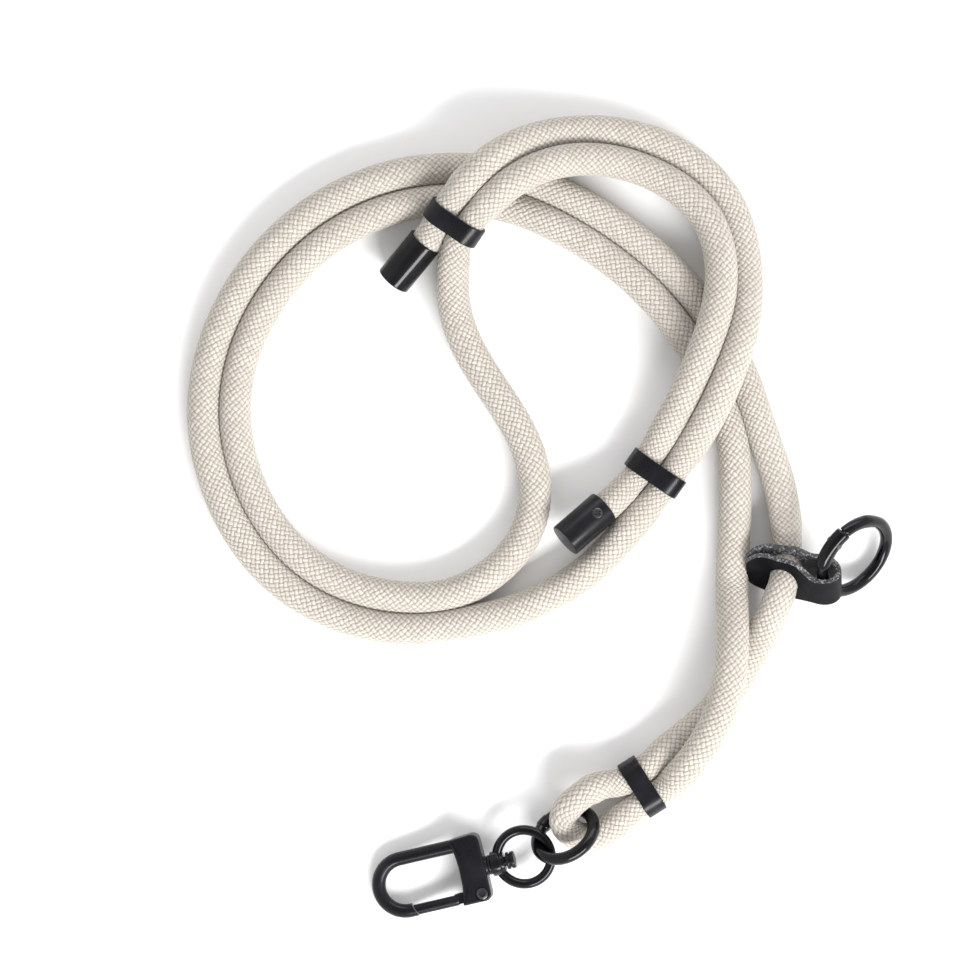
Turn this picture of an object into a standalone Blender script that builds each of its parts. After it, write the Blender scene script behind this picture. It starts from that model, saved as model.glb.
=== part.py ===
"""Crossbody strap for a phone: a thick braided cord laid down in two turns, with black metal
end caps, three sliding keepers, a leather tab with a spring ring, and a swivel snap hook on a
second ring. Run it with: blender --background --python part.py

Lengths below are millimetres and become metres where a mesh or a curve is made. The strap is
laid out on a drawing whose X runs right and whose Y runs up, with the table at Z = 0. The
middle of the hardware's outline on that drawing is the model's origin.
"""

import math

import bmesh
import bpy
import numpy as np
from mathutils import Matrix, Vector

MM = 0.001
COLLECTION = "phone_crossbody_strap"
LAYOUT_CENTRE = (190.728, 121.558)

# Cord: the tube's radius, and the clearance that it keeps to what it passes through.
CORD_RADIUS = 4.35
GAP = 0.3
MOST_SAG = 2.5
REST_HEIGHT = 4.6

# The cord's route from the end in cap A to the end in cap B: x, y and z of its middle on the
# drawing, and its girth there as a share of the full radius.
ROUTE = (
    (120.6, 207.4, 6.1, 0.95),    # inside cap A
    (128.8, 217.1, 10.0, 0.95),   # mouth of cap A
    (131.9, 222.1, 12.2, 0.92),    # through keeper A, upper strand
    (135.9, 228.0, 14.4, 0.92),
    (145.8, 240.5, 15.3, 1.0),    # over the first crossing
    (169.4, 250.3, 7.2, 1.0),
    (198.7, 247.0, 4.6, 1.0),
    (219.9, 229.9, 4.6, 1.0),
    (225.7, 202.1, 9.6, 1.0),
    (223.7, 188.2, 14.3, 1.0),    # over the second crossing
    (218.4, 172.0, 15.4, 1.0),
    (203.7, 147.9, 7.1, 0.92),    # through keeper B, lower strand
    (199.5, 141.8, 6.5, 0.92),
    (180.6, 120.1, 4.6, 1.0),
    (151.2, 103.9, 4.6, 1.0),
    (118.3, 100.2, 4.6, 1.0),
    (87.7, 112.1, 4.6, 1.0),
    (67.0, 139.2, 4.6, 1.0),
    (61.5, 169.4, 4.6, 1.0),
    (71.1, 200.6, 4.6, 1.0),
    (93.8, 226.0, 4.6, 1.0),
    (122.2, 238.5, 4.6, 1.0),
    (136.7, 239.6, 4.6, 1.0),     # under the first crossing
    (151.2, 238.8, 4.6, 1.0),
    (179.1, 227.2, 4.6, 1.0),
    (202.4, 209.8, 4.6, 1.0),
    (219.6, 187.2, 4.6, 1.0),     # under the second crossing
    (231.1, 160.9, 4.6, 1.0),
    (237.9, 124.6, 7.2, 0.94),    # through the tab's back layer
    (236.9, 115.6, 10.5, 0.94),   # through the tab's front layer
    (234.3, 107.5, 10.4, 0.96),
    (229.5, 96.9, 5.6, 1.0),
    (216.9, 76.8, 4.6, 1.0),
    (204.8, 66.1, 4.6, 1.0),      # under the other leg
    (195.0, 58.1, 5.8, 0.92),    # through keeper C, upper strand
    (188.7, 54.1, 5.8, 0.92),
    (184.2, 53.5, 7.1, 0.92),
    (174.6, 49.3, 10.9, 0.92),
    (170.3, 42.8, 9.5, 0.92),     # the end loop, on the ring
    (174.4, 36.7, 7.1, 0.92),
    (182.4, 37.7, 6.2, 0.92),
    (193.3, 46.9, 5.8, 0.92),    # through keeper C, lower strand
    (199.5, 50.9, 5.8, 0.92),
    (206.3, 56.9, 10.6, 1.0),
    (213.6, 66.9, 14.6, 1.0),     # over the other leg
    (218.1, 77.4, 15.2, 1.0),
    (221.1, 94.4, 12.9, 1.0),
    (221.4, 114.0, 4.6, 1.0),
    (222.3, 140.7, 4.6, 1.0),
    (219.3, 162.7, 4.6, 1.0),
    (210.4, 182.7, 4.6, 1.0),     # under the second crossing
    (195.1, 202.4, 4.6, 1.0),
    (173.9, 218.7, 4.6, 1.0),
    (150.3, 228.2, 4.6, 1.0),
    (137.0, 229.8, 4.6, 1.0),     # under the first crossing
    (124.3, 228.1, 4.6, 1.0),
    (99.5, 217.6, 4.6, 1.0),
    (78.3, 193.6, 4.6, 1.0),
    (71.2, 168.5, 4.6, 1.0),
    (76.4, 142.2, 4.6, 1.0),
    (93.3, 120.1, 4.6, 1.0),
    (118.0, 110.5, 4.6, 1.0),
    (144.0, 114.6, 4.6, 1.0),
    (159.1, 129.2, 4.6, 1.0),
    (160.8, 150.6, 4.6, 1.0),
    (148.8, 173.3, 4.6, 1.0),
    (138.2, 194.2, 4.6, 1.0),
    (137.2, 210.2, 8.8, 1.0),
    (138.9, 217.4, 12.2, 0.92),    # through keeper A, lower strand
    (142.9, 223.2, 14.4, 0.92),
    (153.4, 232.2, 15.8, 1.0),    # over the first crossing
    (171.2, 240.9, 11.4, 1.0),
    (194.8, 238.5, 7.2, 1.0),
    (212.4, 225.4, 9.6, 1.0),
    (216.9, 199.7, 15.0, 1.0),    # over the second crossing
    (210.5, 180.6, 15.4, 1.0),
    (196.8, 152.7, 7.1, 0.92),    # through keeper B, upper strand
    (192.5, 146.7, 6.5, 0.92),
    (185.6, 139.7, 7.6, 0.95),
    (182.6, 137.1, 8.5, 0.95),    # mouth of cap B
    (172.5, 128.4, 11.3, 0.95),    # inside cap B
)
# The rows in each keeper: both ends of one strand, then both ends of the other.
KEEPER_ROWS = {"keeper_a": (2, 3, 68, 69), "keeper_b": (12, 11, 77, 76), "keeper_c": (35, 34, 41, 42)}

# End caps: turned cups, each held to the cord by a small screw through its wall.
CAP_LENGTH = 16.0
CAP_RADIUS = 5.35
CAP_WALL = 0.85
CAP_FLOOR = 1.2
CAP_EDGE = 0.3
CAP_A_ROWS = (1, 0)
CAP_B_ROWS = (79, 80)
CAP_SCREW_FROM_MOUTH = 3.9
CAP_SCREW_RADIUS = 1.5
CAP_SCREW_HEIGHT = 0.9
CROSS_LENGTH = 2.0
CROSS_WIDTH = 0.45
CROSS_DEPTH = 0.45

# Keepers: flat oval bands round both strands.
KEEPER_OUTER_LENGTH = 18.8
KEEPER_OUTER_HEIGHT = 10.5
KEEPER_WALL = 0.85
KEEPER_WIDTH = 6.2

# Leather tab: a strip folded round the ring. Rows give the strip's middle line, from one end
# round the fold to the other: distance from the tip, and depth towards the front.
TAB_LINE = (
    (0.8, -0.9),
    (4.2, -1.3),
    (7.9, -1.4),
    (11.5, -1.0),
    (15.7, -0.4),
    (19.7, -0.1),
    (23.6, 0.3),
    (26.8, 1.8),
    (28.6, 4.6),
    (28.3, 7.9),
    (26.0, 9.9),
    (22.6, 9.8),
    (19.7, 8.2),
    (16.6, 6.1),
    (12.7, 4.3),
    (8.5, 2.9),
    (4.5, 1.7),
    (1.0, 1.2),
)
TAB_THICKNESS = 1.7
TAB_END_RADIUS = 8.0
TAB_WAIST = 5.1
TAB_TAPER_FROM = 15.0
TAB_TAPER_TO = 22.0
TAB_TIP = (225.7, 119.2, 6.85)
TAB_LEAN = 50.0
TAB_RISE = 6.0
TAB_HOLE_REACH = 6.0
TAB_ROWS = (28, 29, 30)

# Spring ring on the tab: mean radius, wire radius, its middle, the direction of its level
# axis, its tilt from the table, and where its gate starts and ends round it.
TAB_RING_RADIUS = 12.4
TAB_RING_WIRE = 1.9
TAB_RING_CENTRE = (257.0, 123.0)
TAB_RING_LEVEL_AXIS = 48.0
TAB_RING_TILT = 51.0
GATE_FROM = 97.0
GATE_TO = 30.0
GATE_HINGE_GAP = 1.6
GATE_OVERRUN = 8.0
GATE_SEAM = 0.35
GATE_SEAM_SLANT = 36.0
GATE_CLEAR = 5.0
KNUCKLE_SPAN = 24.0
KNUCKLE_RADIUS = 2.25
KNUCKLE_SLOT = 1.5
PIN_RADIUS = 0.8

# Ring between the cord's end loop and the hook's eye.
LOOP_RING_RADIUS = 9.3
LOOP_RING_WIRE = 1.9
LOOP_RING_CENTRE = (170.1, 37.9)
LOOP_RING_LEVEL_AXIS = 32.4
LOOP_RING_TILT = -51.0

# Snap hook, in its own frame: X along the swivel's axis from the nose to the eye, with 0 on
# the block's end face, Y across, Z up through its thickness.
HOOK_AT = (147.0, 28.65, 6.25)
HOOK_TURN = 13.7
HOOK_PITCH = -6.7
BAR_RADIUS = 2.1
BAR_OFFSET = 8.0
BEND_AT = -25.4
NOSE_END = -23.4
NOSE_SLANT = 20.0
BLOCK_LENGTH = 9.2
BLOCK_HALF_WIDTH = 10.1
BLOCK_THICKNESS = 7.2
BLOCK_HOLLOW = 1.2
BLOCK_CORNER = 1.8
SLOT_THICKNESS = 3.9
SLOT_TOP = -2.4
SLOT_DEPTH = 0.7
GATE_RADIUS = 1.65
GATE_OFFSET = -8.2
GATE_PIVOT = (-2.7, -7.7)
GATE_EYE_RADIUS = 1.75
GATE_TONGUE_THICKNESS = 2.6
GATE_SCREW_HEAD = 1.75
GATE_SCREW_SHANK = 0.9
POST_RADIUS = 1.5
COLLAR_RADIUS = 3.0
COLLAR_LENGTH = 1.6
HEAD_FROM = 6.5
HEAD_LENGTH = 3.0
HEAD_RADIUS = 2.6
EYE_RADIUS = 7.85
EYE_WIRE = 1.5
EYE_CENTRE = 11.9
EYE_ROLL = 5.0
BOSS_FROM = 1.9
BOSS_TO = 5.9
BOSS_RADIUS = 3.75
BOSS_BORE = 1.85

# Finishes: colour, roughness and metallic value.
FINISHES = {
    "cord_braid": ((0.78, 0.72, 0.62), 0.85, 0.0),
    "gloss_black": ((0.02, 0.02, 0.022), 0.25, 0.6),
    "satin_black": ((0.035, 0.035, 0.038), 0.45, 0.6),
    "leather": ((0.045, 0.045, 0.052), 0.65, 0.0),
    "screw_black": ((0.03, 0.03, 0.03), 0.35, 0.8),
}


def clear_file():
    """Remove whatever objects the open file starts with."""
    for thing in list(bpy.data.objects):
        bpy.data.objects.remove(thing, do_unlink=True)


def make_collection(name):
    """A new collection under the scene's own."""
    group = bpy.data.collections.new(name)
    bpy.context.scene.collection.children.link(group)
    return group


def make_finishes():
    """One Principled material for each finish."""
    made = {}
    for name, (colour, roughness, metallic) in FINISHES.items():
        finish = bpy.data.materials.new(name)
        finish.use_nodes = True
        shader = finish.node_tree.nodes["Principled BSDF"]
        shader.inputs["Base Color"].default_value = (*colour, 1.0)
        shader.inputs["Roughness"].default_value = roughness
        shader.inputs["Metallic"].default_value = metallic
        finish.diffuse_color = (*colour, 1.0)
        made[name] = finish
    return made


def table_point(x, y, z=0.0):
    """A point of the drawing, in metres from the model's origin."""
    return Vector((x - LAYOUT_CENTRE[0], y - LAYOUT_CENTRE[1], z)) * MM


def frame(origin, x_axis, z_axis):
    """A placing matrix from its origin in metres, its X axis and a rough Z axis."""
    x_axis = Vector(x_axis).normalized()
    y_axis = Vector(z_axis).cross(x_axis).normalized()
    z_axis = x_axis.cross(y_axis)
    turn = Matrix((x_axis, y_axis, z_axis)).transposed()
    return Matrix.Translation(origin) @ turn.to_4x4()


def add_object(name, data, group, finish=None, matrix=None):
    """Link an object that holds the data, with its finish and its place."""
    thing = bpy.data.objects.new(name, data)
    group.objects.link(thing)
    if finish is not None:
        data.materials.append(finish)
    if matrix is not None:
        thing.matrix_world = matrix
    return thing


def mesh_from(name, vertices, faces):
    """A mesh from millimetre vertices."""
    mesh = bpy.data.meshes.new(name)
    mesh.from_pydata([Vector(v) * MM for v in vertices], [], faces)
    mesh.validate()
    mesh.update()
    return mesh


def smooth(mesh, angle=35.0):
    """Shade smooth, with the edges sharper than the angle left crisp."""
    mesh.shade_smooth()
    mesh.set_sharp_from_angle(angle=math.radians(angle))


def cylinder_mesh(name, radius, length, sides=20):
    """A closed cylinder along Z, centred on its origin."""
    mesh = bpy.data.meshes.new(name)
    shape = bmesh.new()
    bmesh.ops.create_cone(shape, cap_ends=True, segments=sides, radius1=radius * MM,
                          radius2=radius * MM, depth=length * MM)
    shape.to_mesh(mesh)
    shape.free()
    return mesh


def box_mesh(name, low, high):
    """A closed box between two corners in millimetres."""
    mesh = bpy.data.meshes.new(name)
    shape = bmesh.new()
    size = [(b - a) * MM for a, b in zip(low, high)]
    middle = [(a + b) / 2 * MM for a, b in zip(low, high)]
    bmesh.ops.create_cube(shape, size=1.0, matrix=Matrix.Translation(middle) @ Matrix.Diagonal((*size, 1.0)))
    shape.to_mesh(mesh)
    shape.free()
    return mesh


def add_tool(name, mesh, group, matrix):
    """An object that only cuts or joins others."""
    tool = add_object(name, mesh, group, None, matrix)
    tool.hide_render = True
    tool.display_type = "WIRE"
    return tool


def combine(thing, tool, operation):
    """A live Boolean with the exact solver."""
    step = thing.modifiers.new(f"{operation.lower()}_{tool.name}", "BOOLEAN")
    step.operation = operation
    step.solver = "EXACT"
    step.object = tool


def bevel(thing, width, segments=1, angle=40.0):
    """A live bevel on the edges sharper than the angle."""
    step = thing.modifiers.new("bevel", "BEVEL")
    step.width = width * MM
    step.segments = segments
    step.limit_method = "ANGLE"
    step.angle_limit = math.radians(angle)


def tube_curve(name, points, radius, girths=None, cyclic=False, resolution=2):
    """A round tube: a poly curve through millimetre points with filled caps."""
    curve = bpy.data.curves.new(name, "CURVE")
    curve.dimensions = "3D"
    curve.bevel_depth = radius * MM
    curve.bevel_resolution = resolution
    curve.use_fill_caps = True
    line = curve.splines.new("POLY")
    line.points.add(len(points) - 1)
    for i, point in enumerate(points):
        line.points[i].co = (*(Vector(point) * MM), 1.0)
        line.points[i].radius = 1.0 if girths is None else girths[i]
    line.use_cyclic_u = cyclic
    return curve


def tube_mesh(name, points, radius, cyclic=False, resolution=2):
    """The same tube as a welded mesh, ready to be cut or joined."""
    curve = tube_curve(name, points, radius, None, cyclic, resolution)
    holder = bpy.data.objects.new(name, curve)
    bpy.context.scene.collection.objects.link(holder)
    bpy.context.view_layer.update()
    seen = holder.evaluated_get(bpy.context.evaluated_depsgraph_get())
    mesh = bpy.data.meshes.new_from_object(seen)
    bpy.data.objects.remove(holder, do_unlink=True)
    shape = bmesh.new()
    shape.from_mesh(mesh)
    bmesh.ops.remove_doubles(shape, verts=shape.verts, dist=0.00001)
    bmesh.ops.recalc_face_normals(shape, faces=shape.faces)
    shape.to_mesh(mesh)
    shape.free()
    return mesh


def turned(name, profile, group, finish, matrix, steps=24):
    """A solid turned about Z from a profile that starts and ends on the axis."""
    mesh = mesh_from(name, [(r, 0.0, z) for r, z in profile], [])
    mesh.edges.add(len(profile) - 1)
    for i, edge in enumerate(mesh.edges):
        edge.vertices = (i, i + 1)
    thing = add_object(name, mesh, group, finish, matrix)
    step = thing.modifiers.new("turn", "SCREW")
    step.axis = "Z"
    step.steps = steps
    step.render_steps = steps
    step.use_merge_vertices = True
    step.merge_threshold = 0.00001
    return thing


def arc(radius, start, end, count, centre=(0.0, 0.0)):
    """Points in the XY plane on an arc between two angles in degrees."""
    points = []
    for i in range(count + 1):
        a = math.radians(start + (end - start) * i / count)
        points.append((centre[0] + radius * math.cos(a), centre[1] + radius * math.sin(a), 0.0))
    return points


def natural_spline(points):
    """The smoothest curve through the points: a natural cubic over chord length."""
    points = np.array(points, float)
    knots = np.r_[0.0, np.cumsum(np.linalg.norm(np.diff(points[:, :3], axis=0), axis=1))]
    span = np.diff(knots)[:, None]
    slope = np.diff(points, axis=0) / span
    count = len(points)
    system = np.eye(count)
    bends = np.zeros_like(points)
    for i in range(1, count - 1):
        system[i, i - 1:i + 2] = span[i - 1, 0], 2 * (span[i - 1, 0] + span[i, 0]), span[i, 0]
        bends[i] = 6 * (slope[i] - slope[i - 1])
    bends = np.linalg.solve(system, bends)

    def at(where):
        where = np.atleast_1d(where)
        i = np.clip(np.searchsorted(knots, where, side="right") - 1, 0, count - 2)
        before = (where - knots[i])[:, None]
        after = (knots[i + 1] - where)[:, None]
        h = span[i]
        cubic = (bends[i] * after ** 3 + bends[i + 1] * before ** 3) / (6 * h)
        lines = (points[i] / h - bends[i] * h / 6) * after + (points[i + 1] / h - bends[i + 1] * h / 6) * before
        return cubic + lines

    return knots, at


def cord_line():
    """Points and girths along the cord: the route's own, and one more where a span bends most."""
    rows = [(x - LAYOUT_CENTRE[0], y - LAYOUT_CENTRE[1], z, girth) for x, y, z, girth in ROUTE]
    knots, at = natural_spline(rows)
    stops = []
    for a, b in zip(knots[:-1], knots[1:]):
        ends = at([a, a + 0.01, b - 0.01, b])[:, :3]
        turn = Vector(ends[1] - ends[0]).angle(Vector(ends[3] - ends[2]))
        stops.append(a)
        if (b - a) * turn / 8 > MOST_SAG:
            stops.append((a + b) / 2)
    stops.append(knots[-1])
    line = at(np.array(stops))
    line[:, 2] = np.maximum(line[:, 2], REST_HEIGHT)
    return line[:, :3], line[:, 3]


def make_cord(group, finish):
    """The whole braided cord as one plain tube."""
    points, girths = cord_line()
    curve = tube_curve("cord", points, CORD_RADIUS, girths)
    add_object("cord", curve, group, finish)


def keeper_outline():
    """Points round the middle section of a keeper: two half circles and two flats."""
    radius = KEEPER_OUTER_HEIGHT / 2
    reach = KEEPER_OUTER_LENGTH / 2 - radius
    right = arc(radius, -90.0, 90.0, 9, (reach, 0.0))
    left = arc(radius, 90.0, 270.0, 9, (-reach, 0.0))
    return [(x, y) for x, y, _ in right + left]


def make_keeper(name, rows, group, finish):
    """An oval band: an open ring wall, thickened inwards, with its edges broken."""
    a, b, c, d = (table_point(*ROUTE[row][:3]) for row in rows)
    place = frame((a + b + c + d) / 4, c + d - a - b, b + d - a - c)
    outline = keeper_outline()
    count = len(outline)
    vertices = [(x, y, side * KEEPER_WIDTH / 2) for side in (-1, 1) for x, y in outline]
    faces = [(i, (i + 1) % count, count + (i + 1) % count, count + i) for i in range(count)]
    keeper = add_object(name, mesh_from(name, vertices, faces), group, finish, place)
    wall = keeper.modifiers.new("wall", "SOLIDIFY")
    wall.thickness = KEEPER_WALL * MM
    wall.offset = -1.0
    wall.use_even_offset = True
    bevel(keeper, 0.2, 1, 50.0)
    return keeper


def cap_frame(rows, up):
    """A cap's frame: origin at its mouth, Z towards its closed end, X towards its screw."""
    mouth, inside = (table_point(*ROUTE[row][:3]) for row in rows)
    axis = inside - mouth
    return frame(mouth, Vector((0.0, 0.0, up)) - axis * (up * axis.z / axis.length_squared), axis)


def make_cap(name, rows, up, group, tools, finish, screw_finish):
    """A turned cup over the cord's end, and the screw that holds it."""
    edge = CAP_EDGE
    inner = CAP_RADIUS - CAP_WALL
    profile = [(0.0, CAP_LENGTH), (CAP_RADIUS - edge, CAP_LENGTH), (CAP_RADIUS, CAP_LENGTH - edge),
               (CAP_RADIUS, edge), (CAP_RADIUS - edge, 0.0), (inner, 0.0),
               (inner, CAP_LENGTH - CAP_FLOOR), (0.0, CAP_LENGTH - CAP_FLOOR)]
    place = cap_frame(rows, up)
    cap = turned(name, profile, group, finish, place)
    towards_screw = frame(Vector((CAP_RADIUS, 0.0, CAP_SCREW_FROM_MOUTH)) * MM, (0.0, 0.0, 1.0), (1.0, 0.0, 0.0))
    hole = add_tool(f"{name}_screw_hole", cylinder_mesh("hole", CAP_SCREW_RADIUS + 0.25, 3.0, 16), tools,
                    place @ towards_screw)
    combine(cap, hole, "DIFFERENCE")
    seat = CAP_RADIUS - CAP_WALL + 0.05
    lift = Matrix.Translation((0.0, 0.0, (seat - CAP_RADIUS + CAP_SCREW_HEIGHT / 2) * MM))
    screw_place = place @ towards_screw @ lift
    screw = add_object(f"{name}_screw", cylinder_mesh("screw", CAP_SCREW_RADIUS, CAP_SCREW_HEIGHT, 16), group,
                       screw_finish, screw_place)
    top = CAP_SCREW_HEIGHT / 2
    for i in range(2):
        slot = box_mesh("slot", (-CROSS_LENGTH / 2, -CROSS_WIDTH / 2, top - CROSS_DEPTH),
                        (CROSS_LENGTH / 2, CROSS_WIDTH / 2, top + 1.0))
        turn = Matrix.Rotation(math.radians(45.0 + 90.0 * i), 4, "Z")
        combine(screw, add_tool(f"{name}_slot_{i}", slot, tools, screw_place @ turn), "DIFFERENCE")


def tab_frame():
    """The tab's frame: X from its tip to its fold, Y up its width, Z towards its front."""
    lean = math.radians(TAB_LEAN)
    rise = math.radians(TAB_RISE)
    along = Vector((math.cos(rise), 0.0, math.sin(rise)))
    up_width = Vector((0.0, math.cos(lean), math.sin(lean)))
    return frame(table_point(*TAB_TIP), along, along.cross(up_width))


def tab_half_width(u):
    """Half the strip's width at a distance from its tip: a round end, then a taper to the fold."""
    if u < TAB_END_RADIUS:
        round_end = TAB_END_RADIUS ** 2 - (TAB_END_RADIUS - max(u, 0.5)) ** 2
        return math.sqrt(round_end)
    share = min(max((u - TAB_TAPER_FROM) / (TAB_TAPER_TO - TAB_TAPER_FROM), 0.0), 1.0)
    ease = share * share * (3 - 2 * share)
    return TAB_END_RADIUS + (TAB_WAIST - TAB_END_RADIUS) * ease


def make_tab(group, tools, finish):
    """The folded leather strip, pierced for the cord and clear of its ring."""
    knots, at = natural_spline([(u, n, 0.0) for u, n in TAB_LINE])
    line = at(np.linspace(0.0, knots[-1], 39))
    across = (-1.0, -0.5, 0.0, 0.5, 1.0)
    vertices = []
    for u, n, _ in line:
        half = tab_half_width(u)
        vertices += [(u, side * half, n) for side in across]
    wide = len(across)
    faces = []
    for i in range(len(line) - 1):
        for j in range(wide - 1):
            a = i * wide + j
            faces.append((a, a + wide, a + wide + 1, a + 1))
    place = tab_frame()
    tab = add_object("leather_tab", mesh_from("leather_tab", vertices, faces), group, finish, place)
    wall = tab.modifiers.new("leather", "SOLIDIFY")
    wall.thickness = TAB_THICKNESS * MM
    wall.offset = 0.0
    path = [table_point(*ROUTE[row][:3]) / MM for row in TAB_ROWS]
    path.insert(0, path[0] + (path[0] - path[1]).normalized() * TAB_HOLE_REACH)
    hole = tube_mesh("cord_hole", path, CORD_RADIUS * ROUTE[TAB_ROWS[0]][3] + GAP + 0.1, False, 4)
    combine(tab, add_tool("tab_cord_hole", hole, tools, Matrix()), "DIFFERENCE")
    wire = tube_mesh("ring_room", arc(TAB_RING_RADIUS, 0.0, 352.5, 47), TAB_RING_WIRE + GAP, True, 3)
    combine(tab, add_tool("tab_ring_room", wire, tools, tab_ring_frame()), "DIFFERENCE")
    return tab


def ring_frame(centre, radius, wire, level_axis, tilt):
    """A tilted ring's frame: X along its level axis, its lowest wire on the table."""
    turn = math.radians(level_axis)
    lean = math.radians(tilt)
    level = Vector((math.cos(turn), math.sin(turn), 0.0))
    up_slope = Vector((-math.sin(turn) * math.cos(lean), math.cos(turn) * math.cos(lean), math.sin(lean)))
    height = radius * abs(math.sin(lean)) + wire + 0.02
    return frame(table_point(*centre, height), level, level.cross(up_slope))


def tab_ring_frame():
    """Where the tab's ring lies."""
    return ring_frame(TAB_RING_CENTRE, TAB_RING_RADIUS, TAB_RING_WIRE, TAB_RING_LEVEL_AXIS, TAB_RING_TILT)


def make_tab_ring(group, tools, finish, screw_finish):
    """An open ring with a forked knuckle, its hinged gate and the pin between them."""
    place = tab_ring_frame()
    body = tube_mesh("tab_ring", arc(TAB_RING_RADIUS, GATE_FROM + GATE_HINGE_GAP, GATE_TO + 360.0 + GATE_OVERRUN, 48),
                     TAB_RING_WIRE, False, 2)
    smooth(body)
    ring = add_object("tab_ring", body, group, finish, place)
    combine(ring, add_tool("tab_ring_seam", *ring_seam(1)), "DIFFERENCE")
    knuckle = tube_mesh("knuckle", arc(TAB_RING_RADIUS, GATE_FROM - KNUCKLE_SPAN / 3, GATE_FROM + KNUCKLE_SPAN, 6),
                        KNUCKLE_RADIUS, False, 3)
    combine(ring, add_tool("tab_ring_knuckle", knuckle, tools, place), "UNION")
    angle = math.radians(GATE_FROM)
    pivot = Vector((math.cos(angle), math.sin(angle), 0.0)) * TAB_RING_RADIUS
    pivot_place = place @ Matrix.Translation(pivot * MM) @ Matrix.Rotation(angle, 4, "Z")
    fork = box_mesh("fork", (-4.5, -5.0, -KNUCKLE_SLOT / 2), (4.5, 3.4, KNUCKLE_SLOT / 2))
    combine(ring, add_tool("tab_ring_fork", fork, tools, pivot_place), "DIFFERENCE")
    bore = cylinder_mesh("bore", PIN_RADIUS + 0.25, 8.0, 16)
    combine(ring, add_tool("tab_ring_bore", bore, tools, pivot_place), "DIFFERENCE")
    pin = cylinder_mesh("pin", PIN_RADIUS, 2 * KNUCKLE_RADIUS - 0.2, 16)
    add_object("tab_ring_pin", pin, group, screw_finish, pivot_place)
    make_ring_gate(group, tools, finish, pivot, angle, pivot_place)


def ring_seam(side):
    """A slab whose slanted face trims the ring (side 1) or its gate (side -1) where they meet."""
    half = GATE_SEAM / 2
    low, high = (-8.0, half) if side > 0 else (-half, 8.0)
    angle = math.radians(GATE_TO)
    middle = Vector((math.cos(angle), math.sin(angle), 0.0)) * TAB_RING_RADIUS * MM
    turn = Matrix.Rotation(math.radians(GATE_TO - 90.0 + GATE_SEAM_SLANT), 4, "Z")
    place = tab_ring_frame() @ Matrix.Translation(middle) @ turn
    return box_mesh("seam", (low, -3.4, -3.0), (high, 3.4, 3.0)), bpy.data.collections["cutters"], place


def make_ring_gate(group, tools, finish, pivot, angle, pivot_place):
    """The ring's gate: an arc of the wire with a flat eye between the knuckle's cheeks."""
    shift = Matrix.Rotation(-angle, 4, "Z") @ Matrix.Translation(-pivot)
    clear_of_knuckle = GATE_FROM - KNUCKLE_SPAN / 3 - GATE_CLEAR
    points = [shift @ Vector(p) for p in arc(TAB_RING_RADIUS, clear_of_knuckle, GATE_TO - GATE_OVERRUN, 12)]
    wire = tube_mesh("tab_ring_gate", points, TAB_RING_WIRE, False, 2)
    smooth(wire)
    gate = add_object("tab_ring_gate", wire, group, finish, pivot_place)
    combine(gate, add_tool("tab_gate_seam", *ring_seam(-1)), "DIFFERENCE")
    thick = KNUCKLE_SLOT / 2 - 0.2
    tongue = box_mesh("tongue", (-1.5, -4.4, -thick), (1.3, 0.0, thick))
    combine(gate, add_tool("tab_gate_tongue", tongue, tools, pivot_place), "UNION")
    boss = cylinder_mesh("gate_eye", 1.65, 2 * thick, 20)
    combine(gate, add_tool("tab_gate_eye", boss, tools, pivot_place), "UNION")
    bore = cylinder_mesh("gate_bore", PIN_RADIUS + 0.25, 6.0, 16)
    combine(gate, add_tool("tab_gate_bore", bore, tools, pivot_place), "DIFFERENCE")


def make_loop_ring(group, finish):
    """The plain closed ring that joins the cord's end loop to the hook's eye."""
    place = ring_frame(LOOP_RING_CENTRE, LOOP_RING_RADIUS, LOOP_RING_WIRE, LOOP_RING_LEVEL_AXIS, LOOP_RING_TILT)
    mesh = tube_mesh("loop_ring", arc(LOOP_RING_RADIUS, 0.0, 352.5, 47), LOOP_RING_WIRE, True, 2)
    smooth(mesh)
    add_object("loop_ring", mesh, group, finish, place)


def hook_frame():
    """The snap hook's frame on the table."""
    turn = Matrix.Rotation(math.radians(HOOK_TURN), 4, "Z") @ Matrix.Rotation(math.radians(HOOK_PITCH), 4, "Y")
    return Matrix.Translation(table_point(*HOOK_AT)) @ turn


def along_axis(x=0.0):
    """A frame on the hook's swivel axis whose Z points along it, at a distance x."""
    return Matrix.Translation((x * MM, 0.0, 0.0)) @ Matrix.Rotation(math.radians(90.0), 4, "Y")


def block_mesh():
    """The block: a rounded outline with a hollowed window side, extruded through its thickness."""
    half = BLOCK_HALF_WIDTH
    outline = []
    corner = BLOCK_CORNER
    outline += arc(corner, -90.0, 0.0, 4, (-corner, -half + corner))
    outline += arc(corner, 0.0, 90.0, 4, (-corner, half - corner))
    for i in range(9):
        across = 1.0 - i / 4
        outline.append((-BLOCK_LENGTH + BLOCK_HOLLOW * (1 - across * across), across * half, 0.0))
    count = len(outline)
    vertices = [(x, y, side * BLOCK_THICKNESS / 2) for side in (-1, 1) for x, y, _ in outline]
    faces = [tuple(reversed(range(count))), tuple(range(count, 2 * count))]
    faces += [(i, (i + 1) % count, count + (i + 1) % count, count + i) for i in range(count)]
    return mesh_from("hook_body", vertices, faces)


def hook_bar_points():
    """The bar's middle line: out from the block, round the nose and back to the seam."""
    bend = arc(BAR_OFFSET, 90.0, 270.0, 16, (BEND_AT, 0.0))
    return [(-BLOCK_LENGTH + 3.0, BAR_OFFSET, 0.0)] + bend + [(NOSE_END, -BAR_OFFSET, 0.0)]


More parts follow.
